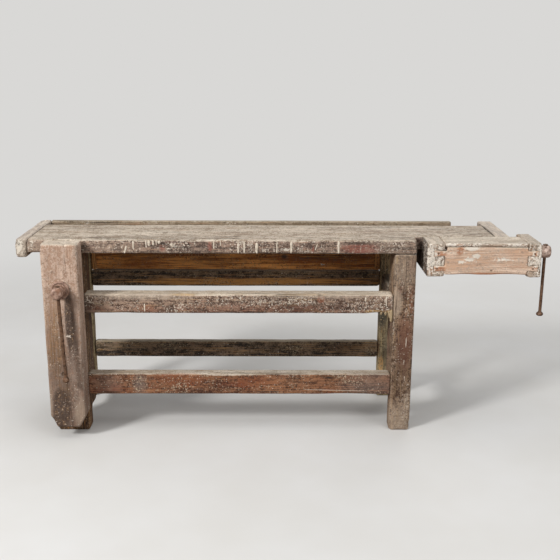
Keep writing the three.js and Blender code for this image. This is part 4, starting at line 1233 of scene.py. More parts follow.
@dataclass
class BenchTop:
    """The plank, its two end caps and the tool tray behind it."""

    front: float = -126.7
    grid: float = 4.5
    plank_finish: AgedTimber = AgedTimber(
        "beech_plank_worn_grey", "worn_top", Grain.ALONG, "#56443a", "#a8917f", "#744a3c",
        "#8a7763", "#dcd0be", "#d3c2ac", mottle=0.6, fleck="#dccfbe", fleck_share=0.17, blush_share=0.18,
        wear_reach=0.7, crack_share=0.5, red="#9a5c4d", dust="#b39d8a")
    cap_finish: AgedTimber = AgedTimber(
        "beech_end_cap_painted", "painted_beech", Grain.ACROSS, "#7a6a5c", "#c9baa8", "#8a6a54",
        "#a5968a", "#dccfbd", "#e6dac8", mottle=0.55, fleck="#e6dbca", fleck_share=0.2, blush_share=0.12,
        wear_reach=0.7, pale="#efe5d5", dust="#cfc2b1")
    tray_finish: AgedTimber = AgedTimber(
        "beech_tray_dusty", "dark_beech", Grain.ALONG, "#3b332c", "#6a5f54", "#5a4232",
        "#7c6f60", "#a0947f", "#a89a86", fleck_share=0.1)
    back_finish: AgedTimber = AgedTimber(
        "beech_tray_back_worn", "worn_top", Grain.ALONG, "#77654f", "#a29178", "#7f5f40",
        "#93846f", "#bfb29e", "#c6b8a2", fleck_share=0.1)
    runs: tuple[Run, ...] = (
        Run(-587, 799, 760, 8), Run(-614, 777, 746, 8, -8), Run(-537, 798, 768, 6), Run(-526, 800, 774, 12),
        Run(-510, 798, 778, 10), Run(-497, 800, 780, 6), Run(-486, 797, 784, 12), Run(-440, 785, 770, 10, 6),
        Run(-274, 797, 764, 7), Run(-248, 796, 776, 5), Run(-179, 792, 747, 9), Run(-155, 796, 747, 9),
        Run(-107, 790, 747, 13), Run(-28, 796, 747, 6), Run(28, 796, 748, 11), Run(131, 788, 760, 5, -10),
        Run(212, 798, 747, 10), Run(299, 788, 750, 4),
    )
    timbers: list[Timber] = field(default_factory=list)

    def build(self) -> None:
        """Makes the worn timbers of the top."""
        y = self.front
        plank_patches = (
            SoftPatch(Mark.RED, (-289, y, 772), (12, 20, 26), 1.0), SoftPatch(Mark.RED, (300, y, 766), (100, 20, 26), 1.2),
            SoftPatch(Mark.RED, (113, y, 762), (8, 20, 18), 1.0), SoftPatch(Mark.RED, (-475, y, 768), (14, 20, 18), 0.8),
            # The first mark on this line is painted shade: the chop's shadow on the plank's front edge.
            SoftPatch(Mark.DARK, (-778, y, 767), (18, 20, 22), 0.9), SoftPatch(Mark.DARK, (295, y, 788), (64, 20, 8), 0.9),
            SoftPatch(Mark.DUST, (-693, y, 771), (90, 20, 30), 0.5), SoftPatch(Mark.DARK, (-100, y, 743), (900, 30, 12), 0.6),
            SoftPatch(Mark.DUST, (440, y, 768), (140, 20, 40), 0.5), SoftPatch(Mark.DARK, (844, 90, 800), (9, 150, 14), 1.2),
            SoftPatch(Mark.DUST, (-965, y, 775), (60, 30, 44), 1.0), SoftPatch(Mark.PALE, (-982, y, 782), (12, 20, 18), 0.6),
            SoftPatch(Mark.PALE, (8, y, 764), (18, 20, 10), 0.75), SoftPatch(Mark.PALE, (-430, y, 778), (26, 20, 14), 0.45),
        )
        front_corners = [corner.co.x for corner in frame["nodes"]["top_plank"].data.vertices if corner.co.y < (y + 1) * MM]
        notch = max(front_corners) / MM
        plank_gouges = (
            Gouge((notch, y, 800), (34, 30, 34), 9),
            Gouge((-830, y, 800), (60, 14, 12), 4), Gouge((-350, y, 800), (90, 12, 10), 3),
            Gouge((60, y, 800), (70, 12, 10), 3.5), Gouge((420, y, 800), (60, 14, 12), 4),
            Gouge((-960, y, 743), (70, 30, 12), 5), Gouge((-40, y, 743), (120, 16, 8), 3),
        )
        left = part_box("left_end_cap")[0].x / MM
        cap_gouges = (
            Gouge((left, y, 800), (22, 24, 26), 5), Gouge((left, y, 728), (16, 20, 18), 3),
            Gouge((left, 284, 800), (24, 24, 30), 7),
        )
        self.timbers = [
            Timber("top_plank", Body.BENCH, self.plank_finish, 11, self.grid, 4, 4.0, 1.2, plank_patches, plank_gouges),
            Timber("left_end_cap", Body.BENCH, self.cap_finish, 12, 3.0, 3, 3.0, 0.8, (
                SoftPatch(Mark.PALE, (-1030, y, 770), (16, 20, 44), 0.8), SoftPatch(Mark.DUST, (-1024, y, 765), (40, 20, 50), 0.6)),
                   cap_gouges),
            Timber("right_end_cap", Body.BENCH, self.cap_finish, 13, 3.5, 4, 3.0, 1.0, (
                SoftPatch(Mark.DARK, (844, 90, 800), (7, 150, 14), 1.2),)),
            Timber("tray_bottom", Body.BENCH, self.tray_finish, 14, 5.0, 2, 1.0, 0.6),
            Timber("tray_back", Body.BENCH, self.back_finish, 15, 4.0, 3, 3.0, 0.8),
        ]
        for timber in self.timbers:
            timber.build()

    def dress(self, shop: Workshop) -> None:
        """Puts the finishes on, with plaster runs down the front and spatter all over.

        Args:
            shop: the shared materials and trees.
        """
        for timber in self.timbers:
            timber.dress(shop.coat(timber.finish))
        runs = shop.runs.run("plaster_runs_on_top", run_lines(self.runs, 21), {
            "Flatness": 0.45, "Face": (self.front + 1.0) * MM, "Material": shop.plaster})
        finish_piece(runs, Body.BENCH, None)
        plank, left, right = self.timbers[:3]
        for timber, share in ((plank, 0.6), (left, 1.0), (right, 0.8)):
            shown = facing(timber, (0, -1, 0)) + 0.35 * facing(timber, (0, 0, 1)) + 0.5 * facing(timber, (-1, 0, 0))
            splash_on(timber, share * shown * cloudy(timber, 130, 22))


@dataclass
class BenchFrame:
    """The legs, the rails that tie them, the bearers under the top and the board behind the upper rails."""

    front: float = -126.7
    rail_finish: AgedTimber = AgedTimber(
        "beech_upper_rail_painted", "painted_beech", Grain.ALONG, "#513a2d", "#ab917d", "#7b4735",
        "#cdb9a1", "#f6e8d3", "#dccab3", mottle=0.65, fleck="#d9ccbb", fleck_share=0.17, blush_share=0.28,
        wear_reach=0.6, raw="#d8b077", red="#8a5137", dust="#bfae9b")
    low_rail_finish: AgedTimber = AgedTimber(
        "beech_lower_rail_red_stained", "red_beech", Grain.ALONG, "#4d2c1b", "#a67350", "#8a4a2c",
        "#9f8c77", "#dacebc", "#bfa88f", mottle=0.5, fleck="#c8b296", fleck_share=0.11, blush_share=0.35,
        wear_reach=0.6, red="#93532f", dust="#857970")
    leg_finish: AgedTimber = AgedTimber(
        "beech_leg_red_stained", "red_beech", Grain.UPRIGHT, "#4c3425", "#b39475", "#84513a",
        "#a08f7e", "#c5b7a3", "#bda994", mottle=0.6, fleck="#cbbba9", fleck_share=0.13, blush_share=0.25,
        stain="#4b3626", raw="#b08f5e", red="#7e4b39", pale="#b5a99a", dust="#b8a48f")
    # A darker copy of the legs' red-stained beech: the chop's shade on this leg is painted into its colour.
    shaded_vise_leg_finish: AgedTimber = AgedTimber(
        "beech_vise_leg_stained", "red_beech", Grain.UPRIGHT, "#3a2415", "#86643f", "#73431f",
        "#a08f7e", "#c5b7a3", "#a88a62", mottle=0.4, fleck="#b39c78", fleck_share=0.07, blush_share=0.25)
    rear_finish: AgedTimber = AgedTimber(
        "beech_rear_dark", "dark_beech", Grain.ALONG, "#261c13", "#8a745a", "#734c28",
        "#8c7e6b", "#b0a390", "#a08c6c", mottle=0.45, fleck="#b3a285", fleck_share=0.08, blush_share=0.2,
        raw="#d69b55")
    rear_leg_finish: AgedTimber = AgedTimber(
        "beech_rear_leg_dark", "dark_beech", Grain.UPRIGHT, "#76664b", "#d6c196", "#93683a",
        "#746a5c", "#978c7b", "#94835f", mottle=0.45, fleck="#c8b691", fleck_share=0.1, blush_share=0.15,
        raw="#eec184", stain="#2d2d29", red="#6b3c1f", dust="#a39a84")
    side_finish: AgedTimber = AgedTimber(
        "beech_side_rail_dark", "dark_beech", Grain.ACROSS, "#3b3025", "#6e604e", "#5e4128",
        "#8a7d6b", "#ada08b", "#968871", mottle=0.4, fleck_share=0.05)
    apron_finish: AgedTimber = AgedTimber(
        "pine_apron_bare", "raw_pine", Grain.ALONG, "#965723", "#fbb163", "#80491b",
        "#8a6a48", "#a98a63", "#d8a566", mottle=0.16, fleck="#d0a874", fleck_share=0.03, blush_share=0.2)
    cleat_finish: AgedTimber = AgedTimber(
        "pine_cleat_bare", "raw_pine", Grain.UPRIGHT, "#8f5a28", "#e0a363", "#6e441a",
        "#8a6a48", "#a98a63", "#d3a268", mottle=0.16, fleck="#d0a874", fleck_share=0.03, blush_share=0.2)
    plaster_runs: tuple[Run, ...] = (
        Run(-552, 545, 508, 7), Run(407, 574, 530, 6), Run(492, 413, 328, 4), Run(487, 311, 281, 4),
        Run(492, 242, 208, 4), Run(-172, 572, 556, 6), Run(-264, 560, 550, 5), Run(324, 570, 552, 9),
        Run(45, 179, 170, 2.6, 380),
    )
    glue_runs: tuple[Run, ...] = (
        Run(428, 520, 466, 14), Run(417, 514, 484, 11, 6), Run(405, 510, 495, 11), Run(388, 509, 498, 10),
        Run(-767, 542, 538, 2.6, 119),
    )
    timbers: list[Timber] = field(default_factory=list)

    def build(self) -> None:
        """Makes the worn timbers of the frame."""
        y = self.front
        leg_patches = (
            SoftPatch(Mark.DARK, (468, y, 654), (16, 20, 30), 0.7), SoftPatch(Mark.DARK, (479, y, 584), (20, 20, 38), 0.7),
            SoftPatch(Mark.DUST, (446, y, 548), (30, 20, 74), 1.3), SoftPatch(Mark.RAW, (442, y, 722), (8, 20, 22), 1.0),
            # The last mark on this line is a painted sheen on the upper leg, laid in the dust colour.
            SoftPatch(Mark.DARK, (479, y, 270), (70, 60, 220), 0.5), SoftPatch(Mark.DUST, (480, y, 20), (120, 90, 130), 0.85), SoftPatch(Mark.DUST, (478, y, 690), (90, 60, 110), 0.65),
            SoftPatch(Mark.DUST, (505, y, 100), (20, 20, 90), 0.9), SoftPatch(Mark.RED, (488, y, 371), (44, 20, 170), 0.85),
            SoftPatch(Mark.RED, (500, y, 700), (26, 20, 40), 0.7), SoftPatch(Mark.RED, (504, y, 560), (20, 20, 90), 0.6),
        )
        rail_patches = (
            SoftPatch(Mark.RED, (147, y, 564), (18, 20, 21), 2.4), SoftPatch(Mark.DARK, (147, y, 580), (13, 20, 6), 1.0),
            SoftPatch(Mark.RAW, (372, y, 505), (64, 24, 14), 1.3), SoftPatch(Mark.RAW, (424, y, 505), (24, 24, 18), 1.3),
            SoftPatch(Mark.RAW, (95, y, 580), (150, 24, 8), 0.8), SoftPatch(Mark.RAW, (-406, y, 580), (75, 24, 8), 0.8),
            SoftPatch(Mark.RED, (-180, y, 508), (760, 30, 44), 0.55), SoftPatch(Mark.RED, (-542, y, 522), (60, 20, 26), 0.8),
            # The first mark on this line is painted shade: the chop's shadow on the rail.
            SoftPatch(Mark.DARK, (-780, y, 540), (36, 30, 50), 0.8), SoftPatch(Mark.DUST, (-560, y, 578), (260, 30, 26), 0.9),
            SoftPatch(Mark.DUST, (150, y, 580), (330, 30, 22), 0.8), SoftPatch(Mark.DARK, (-452, y, 520), (34, 20, 22), 0.6),
        )
        rail_gouges = (
            Gouge((383, y, 501), (60, 22, 12), 9), Gouge((147, y, 580), (14, 24, 14), 8),
            Gouge((-300, y, 580), (140, 14, 9), 3), Gouge((-640, y, 501), (80, 14, 9), 4),
        )
        low_stains = (
            SoftPatch(Mark.RED, (-420, y, 222), (150, 20, 36), 0.8), SoftPatch(Mark.RED, (-115, y, 207), (122, 20, 35), 0.6),
            SoftPatch(Mark.DUST, (-582, y, 200), (36, 20, 60), 0.75), SoftPatch(Mark.DUST, (-720, y, 200), (80, 20, 60), 0.5),
            SoftPatch(Mark.DUST, (350, y, 200), (150, 30, 70), 0.6),
        )
        self.timbers = [
            Timber("front_left_leg", Body.BENCH, self.shaded_vise_leg_finish, 31, 4.5, 4, 3.0, 1.0),
            Timber("front_right_leg", Body.BENCH, self.leg_finish, 32, 3.5, 4, 2.0, 0.6, leg_patches,
                   (Gouge((521, y, 20), (24, 24, 30), 6), Gouge((435, y, 10), (18, 20, 22), 4))),
            Timber("front_upper_rail", Body.BENCH, self.rail_finish, 33, 3.5, 4, 3.5, 1.0, rail_patches, rail_gouges),
            Timber("front_lower_rail", Body.BENCH, self.low_rail_finish, 34, 3.5, 4, 3.5, 1.0, low_stains,
                   (Gouge((-200, y, 246), (200, 16, 10), 4), Gouge((250, y, 157), (120, 16, 9), 3))),
            Timber("rear_left_leg", Body.BENCH, self.rear_leg_finish, 35, 5.0, 4, 3.0, 1.0),
            Timber("rear_right_leg", Body.BENCH, self.rear_leg_finish, 36, 4.0, 4, 3.0, 1.0, (
                SoftPatch(Mark.DARK, (436, 234, 400), (36, 60, 110), 1.15),
                SoftPatch(Mark.DUST, (476, 234, 230), (30, 30, 130), 0.9),
                SoftPatch(Mark.RED, (427, 234, 235), (10, 30, 50), 1.2),
                SoftPatch(Mark.RAW, (442, 234, 155), (13, 24, 46), 1.7),
                SoftPatch(Mark.RAW, (478, 234, 390), (16, 20, 40), 1.3),
                SoftPatch(Mark.RAW, (470, 234, 270), (9, 20, 26), 1.1),
                SoftPatch(Mark.RAW, (440, 234, 322), (5, 20, 30), 0.9))),
            Timber("rear_upper_rail", Body.BENCH, self.rear_finish, 37, 4.5, 4, 3.0, 1.0, (
                # A golden band along the lower half of the rail.
                SoftPatch(Mark.RAW, (-150, 241, 536), (720, 40, 21), 1.0),)),
            Timber("rear_lower_rail", Body.BENCH, self.rear_finish, 38, 4.5, 4, 3.0, 1.0),
            Timber("left_upper_side_rail", Body.BENCH, self.side_finish, 39, 5.0, 3, 2.0, 0.8),
            Timber("right_upper_side_rail", Body.BENCH, self.side_finish, 40, 5.0, 3, 2.0, 0.8),
            Timber("left_lower_side_rail", Body.BENCH, self.side_finish, 41, 5.0, 3, 2.0, 0.8),
            Timber("right_lower_side_rail", Body.BENCH, self.side_finish, 42, 5.0, 3, 2.0, 0.8),
            Timber("left_top_bearer", Body.BENCH, self.side_finish, 43, 5.0, 2, 2.0, 0.8),
            Timber("right_top_bearer", Body.BENCH, self.side_finish, 44, 5.0, 2, 2.0, 0.8),
            Timber("rear_apron", Body.BENCH, self.apron_finish, 45, 4.5, 3, 2.0, 1.0, (
                SoftPatch(Mark.DARK, (5, 248, 645), (17, 14, 12), 1.2), SoftPatch(Mark.DARK, (-330, 248, 632), (160, 30, 40), 0.45),
                SoftPatch(Mark.DARK, (190, 248, 640), (260, 30, 22), 0.45), SoftPatch(Mark.PALE, (171, 248, 611), (16, 14, 6), 0.7),
                SoftPatch(Mark.DARK, (-560, 248, 690), (300, 30, 60), 0.5), SoftPatch(Mark.DUST, (-200, 271, 650), (1400, 14, 240), 0.8))),
            Timber("left_apron_cleat", Body.BENCH, self.cleat_finish, 46, 4.0, 3, 2.0, 0.8),
            Timber("right_apron_cleat", Body.BENCH, self.cleat_finish, 47, 4.0, 3, 2.0, 0.8),
        ]
        for timber in self.timbers:
            timber.build()

    def dress(self, shop: Workshop) -> None:
        """Puts the finishes on, with a few plaster runs and spatter on the front timbers.

        Args:
            shop: the shared materials and trees.
        """
        for timber in self.timbers:
            timber.dress(shop.coat(timber.finish))
        for name, runs, material in (
            ("plaster_runs_on_frame", self.plaster_runs, shop.plaster), ("glue_runs_on_frame", self.glue_runs, shop.glue),
        ):
            laid = shop.runs.run(name, run_lines(runs, 51), {
                "Flatness": 0.5, "Face": (self.front + 1.0) * MM, "Material": material})
            finish_piece(laid, Body.BENCH, None)
        for timber in self.timbers[1:4]:
            shown = facing(timber, (0, -1, 0)) + 0.8 * facing(timber, (0, 0, 1))
            splash_on(timber, 0.7 * shown * cloudy(timber, 110, 52))


@dataclass
class LegVise:
    """The leg vise: the chop with its guide, the screw with its bar, and the nut behind the leg."""

    face: float = -216.7
    rosette: float = 36.0
    rosette_thickness: float = 8.0
    chop_finish: AgedTimber = AgedTimber(
        "beech_chop_rubbed_pale", "pale_beech", Grain.UPRIGHT, "#ab8b75", "#e0c5b1", "#bb9275",
        "#c2b09c", "#e8dbc9", "#e4d1bd", mottle=0.62, fleck="#d9c6b3", fleck_share=0.05, blush_share=0.2,
        crack_share=0.3, pit_share=0.07, wear_reach=0.6, raw="#a07a52", stain="#34231a", pale="#e0d3c3", dust="#ad9884")
    guide_finish: AgedTimber = AgedTimber(
        "beech_guide_red_stained", "red_beech", Grain.ACROSS, "#5a4034", "#8f6b56", "#7a4a36",
        "#a08f7e", "#bfae98", "#b39b84", mottle=0.3, fleck_share=0.05)
    peg_finish: AgedTimber = AgedTimber(
        "beech_peg_pale", "pale_beech", Grain.ALONG, "#7d6455", "#b09582", "#94704f",
        "#b6a793", "#d8cbb9", "#c9b8a5", mottle=0.3, fleck_share=0.05)
    spindle: Spindle = field(default_factory=lambda: Spindle(
        "leg", Body.LEG_SCREW, Body.LEG_BAR, (-857.8, -284.3, 622.0), Matrix.Rotation(-math.pi / 2, 4, "X"),
        23.5, 52.0, 16.0, 146.4, 502.6, 7.0, 362.0, 13.0, 22.0, -math.radians(1.9), 61))
    timbers: list[Timber] = field(default_factory=list)

    def build(self) -> None:
        """Makes the worn timbers of the vise."""
        y = self.face
        soft_patches = (
            # The first mark darkens the chop towards the floor: painted shade where the light falls off, over real
            # grime. The second mark and the one on the next line paint the shadow of the hub and the bar, to the right
            # of the bar.
            SoftPatch(Mark.DARK, (-858, y, 60), (170, 130, 540), 0.72), SoftPatch(Mark.DARK, (-822, y, 390), (40, 40, 260), 0.72),
            SoftPatch(Mark.DARK, (-829, y, 490), (24, 30, 175), 1.5),
            SoftPatch(Mark.DARK, (-881, y, 132), (54, 50, 130), 1.4), SoftPatch(Mark.DARK, (-901, y, 66), (40, 50, 60), 1.4),
            SoftPatch(Mark.DARK, (-868, y, 279), (9, 20, 14), 1.2), SoftPatch(Mark.RAW, (-892, y, 400), (46, 30, 240), 0.6),
            SoftPatch(Mark.RAW, (-866, y, 210), (50, 20, 110), 0.4), SoftPatch(Mark.DUST, (-806, y, 110), (34, 40, 80), 1.0),
            SoftPatch(Mark.DUST, (-926, y, 169), (16, 30, 86), 0.8), SoftPatch(Mark.PALE, (-836, y, 436), (12, 20, 7), 0.6),
        )
        gouges = (
            Gouge((-929, y, 800), (20, 24, 40), 5), Gouge((-787, y, 800), (20, 24, 30), 5),
            Gouge((-929, y, 60), (26, 30, 40), 7), Gouge((-868, y, 279), (8, 14, 12), 4),
            Gouge((-787, y, 300), (10, 14, 120), 3), Gouge((-860, y, 47), (90, 30, 12), 4),
        )
        self.timbers = [
            Timber("chop", Body.LEG_CHOP, self.chop_finish, 62, 3.0, 6, 4.0, 1.2, soft_patches, gouges),
            Timber("parallel_guide", Body.LEG_CHOP, self.guide_finish, 63, 3.5, 3, 2.0, 0.6),
            Timber("guide_peg", Body.LEG_CHOP, self.peg_finish, 64, 1.2, 1, 0.3, 0.2),
        ]
        for timber in self.timbers:
            timber.build()

    def dress(self, shop: Workshop) -> None:
        """Puts the finishes on and makes the iron.

        Args:
            shop: the shared materials and trees.
        """
        for timber in self.timbers:
            timber.dress(shop.coat(timber.finish))
        chop = self.timbers[0]
        low = Timber.near(spots_of(chop), (-812, self.face, 230), (60, 60, 240))
        splash_on(chop, (facing(chop, (0, -1, 0)) + facing(chop, (-1, 0, 0))) * (cloudy(chop, 120, 66) + low))
        shop.splash("plaster_spatter_on_chop", [chop], Body.LEG_CHOP, 1300, 67)
        self.spindle.build(shop)
        hole, rim, thick = self.spindle.shaft + 1.0, self.rosette, self.rosette_thickness
        place = Matrix.Translation(Vector((self.spindle.end[0], self.face - 0.3, self.spindle.end[2])) * MM)
        rosette = turned_plate("leg_rosette_turned", [
            (hole, 0), (rim, 0), (rim, -0.4 * thick), (rim - 1.0, -0.7 * thick), (rim - 4.0, -0.97 * thick),
            (rim - 7.0, -0.9 * thick), (rim - 8.0, -0.72 * thick), (hole + 4, -0.72 * thick), (hole, -0.75 * thick),
        ], place @ Matrix.Rotation(-math.pi / 2, 4, "X"))
        hammer(rosette, 0.4, 68)
        finish_piece(rosette, Body.LEG_CHOP, shop.iron, ["leg_rosette"])
        for node, body in (("leg_garter", Body.LEG_CHOP), ("guide_stop_pin", Body.LEG_CHOP), ("leg_nut", Body.BENCH)):
            finish_piece(eased_solid(node, 0.8), body, shop.iron, [node])
        shop.fasten("leg_garter_screws_set", ["leg_garter_screw_1", "leg_garter_screw_2"], (0, 1, 0), Head.SCREW,
                    Body.LEG_CHOP, 71)
        shop.fasten("leg_nut_bolts_set", [f"leg_nut_bolt_{n}" for n in (1, 2, 3, 4)], (0, 1, 0), Head.BOLT,
                    Body.BENCH, 72)


@dataclass
class TailVise:
    """The tail vise: a dovetailed box that slides along the front corner, with its screw, guide and nut."""

    face: float = -178.7
    rosette: float = 29.0
    rosette_thickness: float = 4.0
    board_finish: AgedTimber = AgedTimber(
        "beech_vise_board_pink", "pale_beech", Grain.ALONG, "#d2ac8f", "#eed4bd", "#d3a27e",
        "#bfb29c", "#e3d6c1", "#eddcc7", mottle=0.3, fleck="#efe3d2", fleck_share=0.06, blush_share=0.25,
        pit_share=0.02, crack_share=0.12, pale="#f2e8d9", raw="#b9744a", stain="#5a3f2c")
    block_finish: AgedTimber = AgedTimber(
        "beech_vise_block_limed", "pale_beech", Grain.ACROSS, "#82705d", "#d2bda8", "#9f7755",
        "#a39380", "#e0d3c1", "#eadccb", mottle=0.6, fleck="#f0e5d6", fleck_share=0.22, blush_share=0.2,
        pale="#f4eadc", stain="#2c1f16", raw="#b58662")
    # Dark beech: the shade that the tongue sits in is painted into its colour.
    tongue_finish: AgedTimber = AgedTimber(
        "beech_vise_tongue_dark", "red_beech", Grain.ACROSS, "#382a20", "#5d4a3a", "#4d3423",
        "#6a5b4a", "#8a7a66", "#6f5d4a", mottle=0.3, fleck_share=0.02)
    lid_finish: AgedTimber = AgedTimber(
        "beech_vise_lid_worn", "worn_top", Grain.ALONG, "#a58a74", "#dcc8b2", "#b08a6a",
        "#a59480", "#f0e4d1", "#f2e6d4", mottle=0.45, fleck="#f0e5d5", fleck_share=0.14, raw="#b0744a",
        pale="#f2e8da")
    guide_finish: AgedTimber = AgedTimber(
        "beech_keeper_red_stained", "red_beech", Grain.ALONG, "#573f35", "#876556", "#74473a",
        "#a08f7e", "#bfae98", "#b39b84", mottle=0.3, fleck_share=0.05)
    # The tail screw takes the lighter copy of the iron: painted light on a hub that the end block shades.
    spindle: Spindle = field(default_factory=lambda: Spindle(
        "tail", Body.TAIL_SCREW, Body.TAIL_BAR, (1046.8, -106.7, 754.0), Matrix.Rotation(-math.pi / 2, 4, "Y"),
        25.5, 41.0, 14.0, 95.5, 409.6, 6.5, 264.0, 14.0, 16.0, 0.0, 81, rubbed=True))
    timbers: list[Timber] = field(default_factory=list)

    def build(self) -> None:
        """Makes the worn timbers of the vise."""
        y = self.face
        board_stains = (
            SoftPatch(Mark.RAW, (676, y, 772), (17, 14, 24), 0.9), SoftPatch(Mark.PALE, (722, y, 781), (36, 14, 13), 1.0),
            SoftPatch(Mark.PALE, (682, y, 727), (24, 14, 8), 0.9), SoftPatch(Mark.PALE, (713, y, 737), (26, 14, 11), 1.0),
            SoftPatch(Mark.PALE, (740, y, 750), (20, 14, 13), 1.0), SoftPatch(Mark.PALE, (850, y, 738), (60, 14, 12), 0.6),
            SoftPatch(Mark.RAW, (785, y, 678), (140, 20, 9), 1.0), SoftPatch(Mark.RAW, (600, y, 700), (30, 14, 14), 0.9),
            SoftPatch(Mark.RAW, (600, y, 760), (30, 14, 14), 0.7), SoftPatch(Mark.RAW, (966, y, 735), (24, 14, 44), 0.7),
            SoftPatch(Mark.DARK, (800, y, 694), (7, 14, 5), 1.0), SoftPatch(Mark.PALE, (584, y, 735), (24, 14, 64), 0.55),
            SoftPatch(Mark.PALE, (972, y, 735), (24, 14, 64), 0.55),
        )
        board_gouges = (Gouge((700, y, 676), (60, 16, 8), 3), Gouge((860, y, 676), (70, 16, 8), 4))
        block_patches = (
            SoftPatch(Mark.PALE, (566, y, 740), (28, 12, 90), 0.7), SoftPatch(Mark.PALE, (600, y, 740), (40, 12, 84), 0.5),
            # This mark is painted shade: the dark of the narrow gap, on the jaw's left face.
            SoftPatch(Mark.DARK, (546, -80, 710), (12, 170, 170), 1.8),
            SoftPatch(Mark.RAW, (566, y, 690), (18, 14, 24), 0.8),
        )
        end_stains = (
            SoftPatch(Mark.PALE, (982, y, 740), (24, 14, 84), 0.7), SoftPatch(Mark.PALE, (956, y, 735), (30, 14, 80), 0.5),
            SoftPatch(Mark.RAW, (950, y, 760), (14, 14, 40), 0.6),
        )
        self.timbers = [
            Timber("vise_jaw_block", Body.TAIL_VISE, self.block_finish, 82, 2.2, 4, 2.0, 0.6, block_patches),
            Timber("vise_jaw_tongue", Body.TAIL_VISE, self.tongue_finish, 89, 3.0, 2, 1.0, 0.4),
            Timber("vise_front_board", Body.TAIL_VISE, self.board_finish, 83, 2.2, 4, 1.8, 0.6, board_stains,
                   board_gouges),
            Timber("vise_top_board", Body.TAIL_VISE, self.lid_finish, 84, 2.2, 3, 2.0, 0.5, (
                SoftPatch(Mark.RAW, (678, y, 792), (16, 14, 12), 1.0), SoftPatch(Mark.PALE, (645, y, 795), (70, 20, 16), 0.62),
                SoftPatch(Mark.PALE, (745, y, 796), (60, 20, 14), 0.5), SoftPatch(Mark.PALE, (890, y, 794), (80, 20, 16), 0.62),
            )),
            Timber("vise_end_block", Body.TAIL_VISE, self.block_finish, 85, 2.2, 4, 2.5, 0.6, end_stains,
                   (Gouge((941, y, 665), (14, 20, 14), 5), Gouge((994, y, 800), (16, 24, 16), 5))),
            Timber("vise_guide_bar", Body.TAIL_VISE, self.guide_finish, 86, 3.0, 2, 1.0, 0.4),
            Timber("inner_guide_keeper", Body.BENCH, self.guide_finish, 87, 3.0, 3, 1.5, 0.5),
            Timber("outer_guide_keeper", Body.BENCH, self.guide_finish, 88, 3.0, 3, 1.5, 0.5),
        ]
        for timber in self.timbers:
            timber.build()

    def dress(self, shop: Workshop) -> None:
        """Puts the finishes on and makes the iron.

        Args:
            shop: the shared materials and trees.
        """
        for timber in self.timbers:
            timber.dress(shop.coat(timber.finish))
        splashed = [timber for timber in self.timbers[:5] if timber.node != "vise_jaw_tongue"]
        for timber in splashed:
            splash_on(timber, (facing(timber, (0, -1, 0)) + 0.6 * facing(timber, (0, 0, 1))) * cloudy(timber, 70, 91))
        shop.splash("plaster_spatter_on_vise", splashed, Body.TAIL_VISE, 3000, 92)
        self.spindle.build(shop)
        hole, rim, thick = self.spindle.shaft + 1.0, self.rosette, self.rosette_thickness
        place = Matrix.Translation(Vector((994.5, self.spindle.end[1], self.spindle.end[2])) * MM)
        rosette = turned_plate("tail_rosette_turned", [
            (hole, 0), (rim, 0), (rim, -0.5 * thick), (rim - 1.5, -0.9 * thick), (rim - 3, -thick),
            (hole + 1, -thick), (hole, -0.9 * thick),
        ], place @ Matrix.Rotation(-math.pi / 2, 4, "Y"))
        hammer(rosette, 0.3, 93)
        finish_piece(rosette, Body.TAIL_VISE, shop.iron, ["tail_rosette"])
        for node, body in (("tail_garter", Body.TAIL_VISE), ("tail_nut", Body.BENCH)):
            finish_piece(eased_solid(node, 0.8), body, shop.iron, [node])
        shop.fasten("dovetail_nails_set", [f"dovetail_nail_{n}" for n in (1, 2, 3, 4)], (0, -1, 0), Head.NAIL,
                    Body.TAIL_VISE, 94)
        shop.fasten("tail_garter_screws_set", ["tail_garter_screw_1", "tail_garter_screw_2"], (-1, 0, 0), Head.SCREW,
                    Body.TAIL_VISE, 95)
        shop.fasten("tail_nut_bolts_set", ["tail_nut_bolt_1", "tail_nut_bolt_2"], (0, -1, 0), Head.BOLT,
                    Body.BENCH, 96)


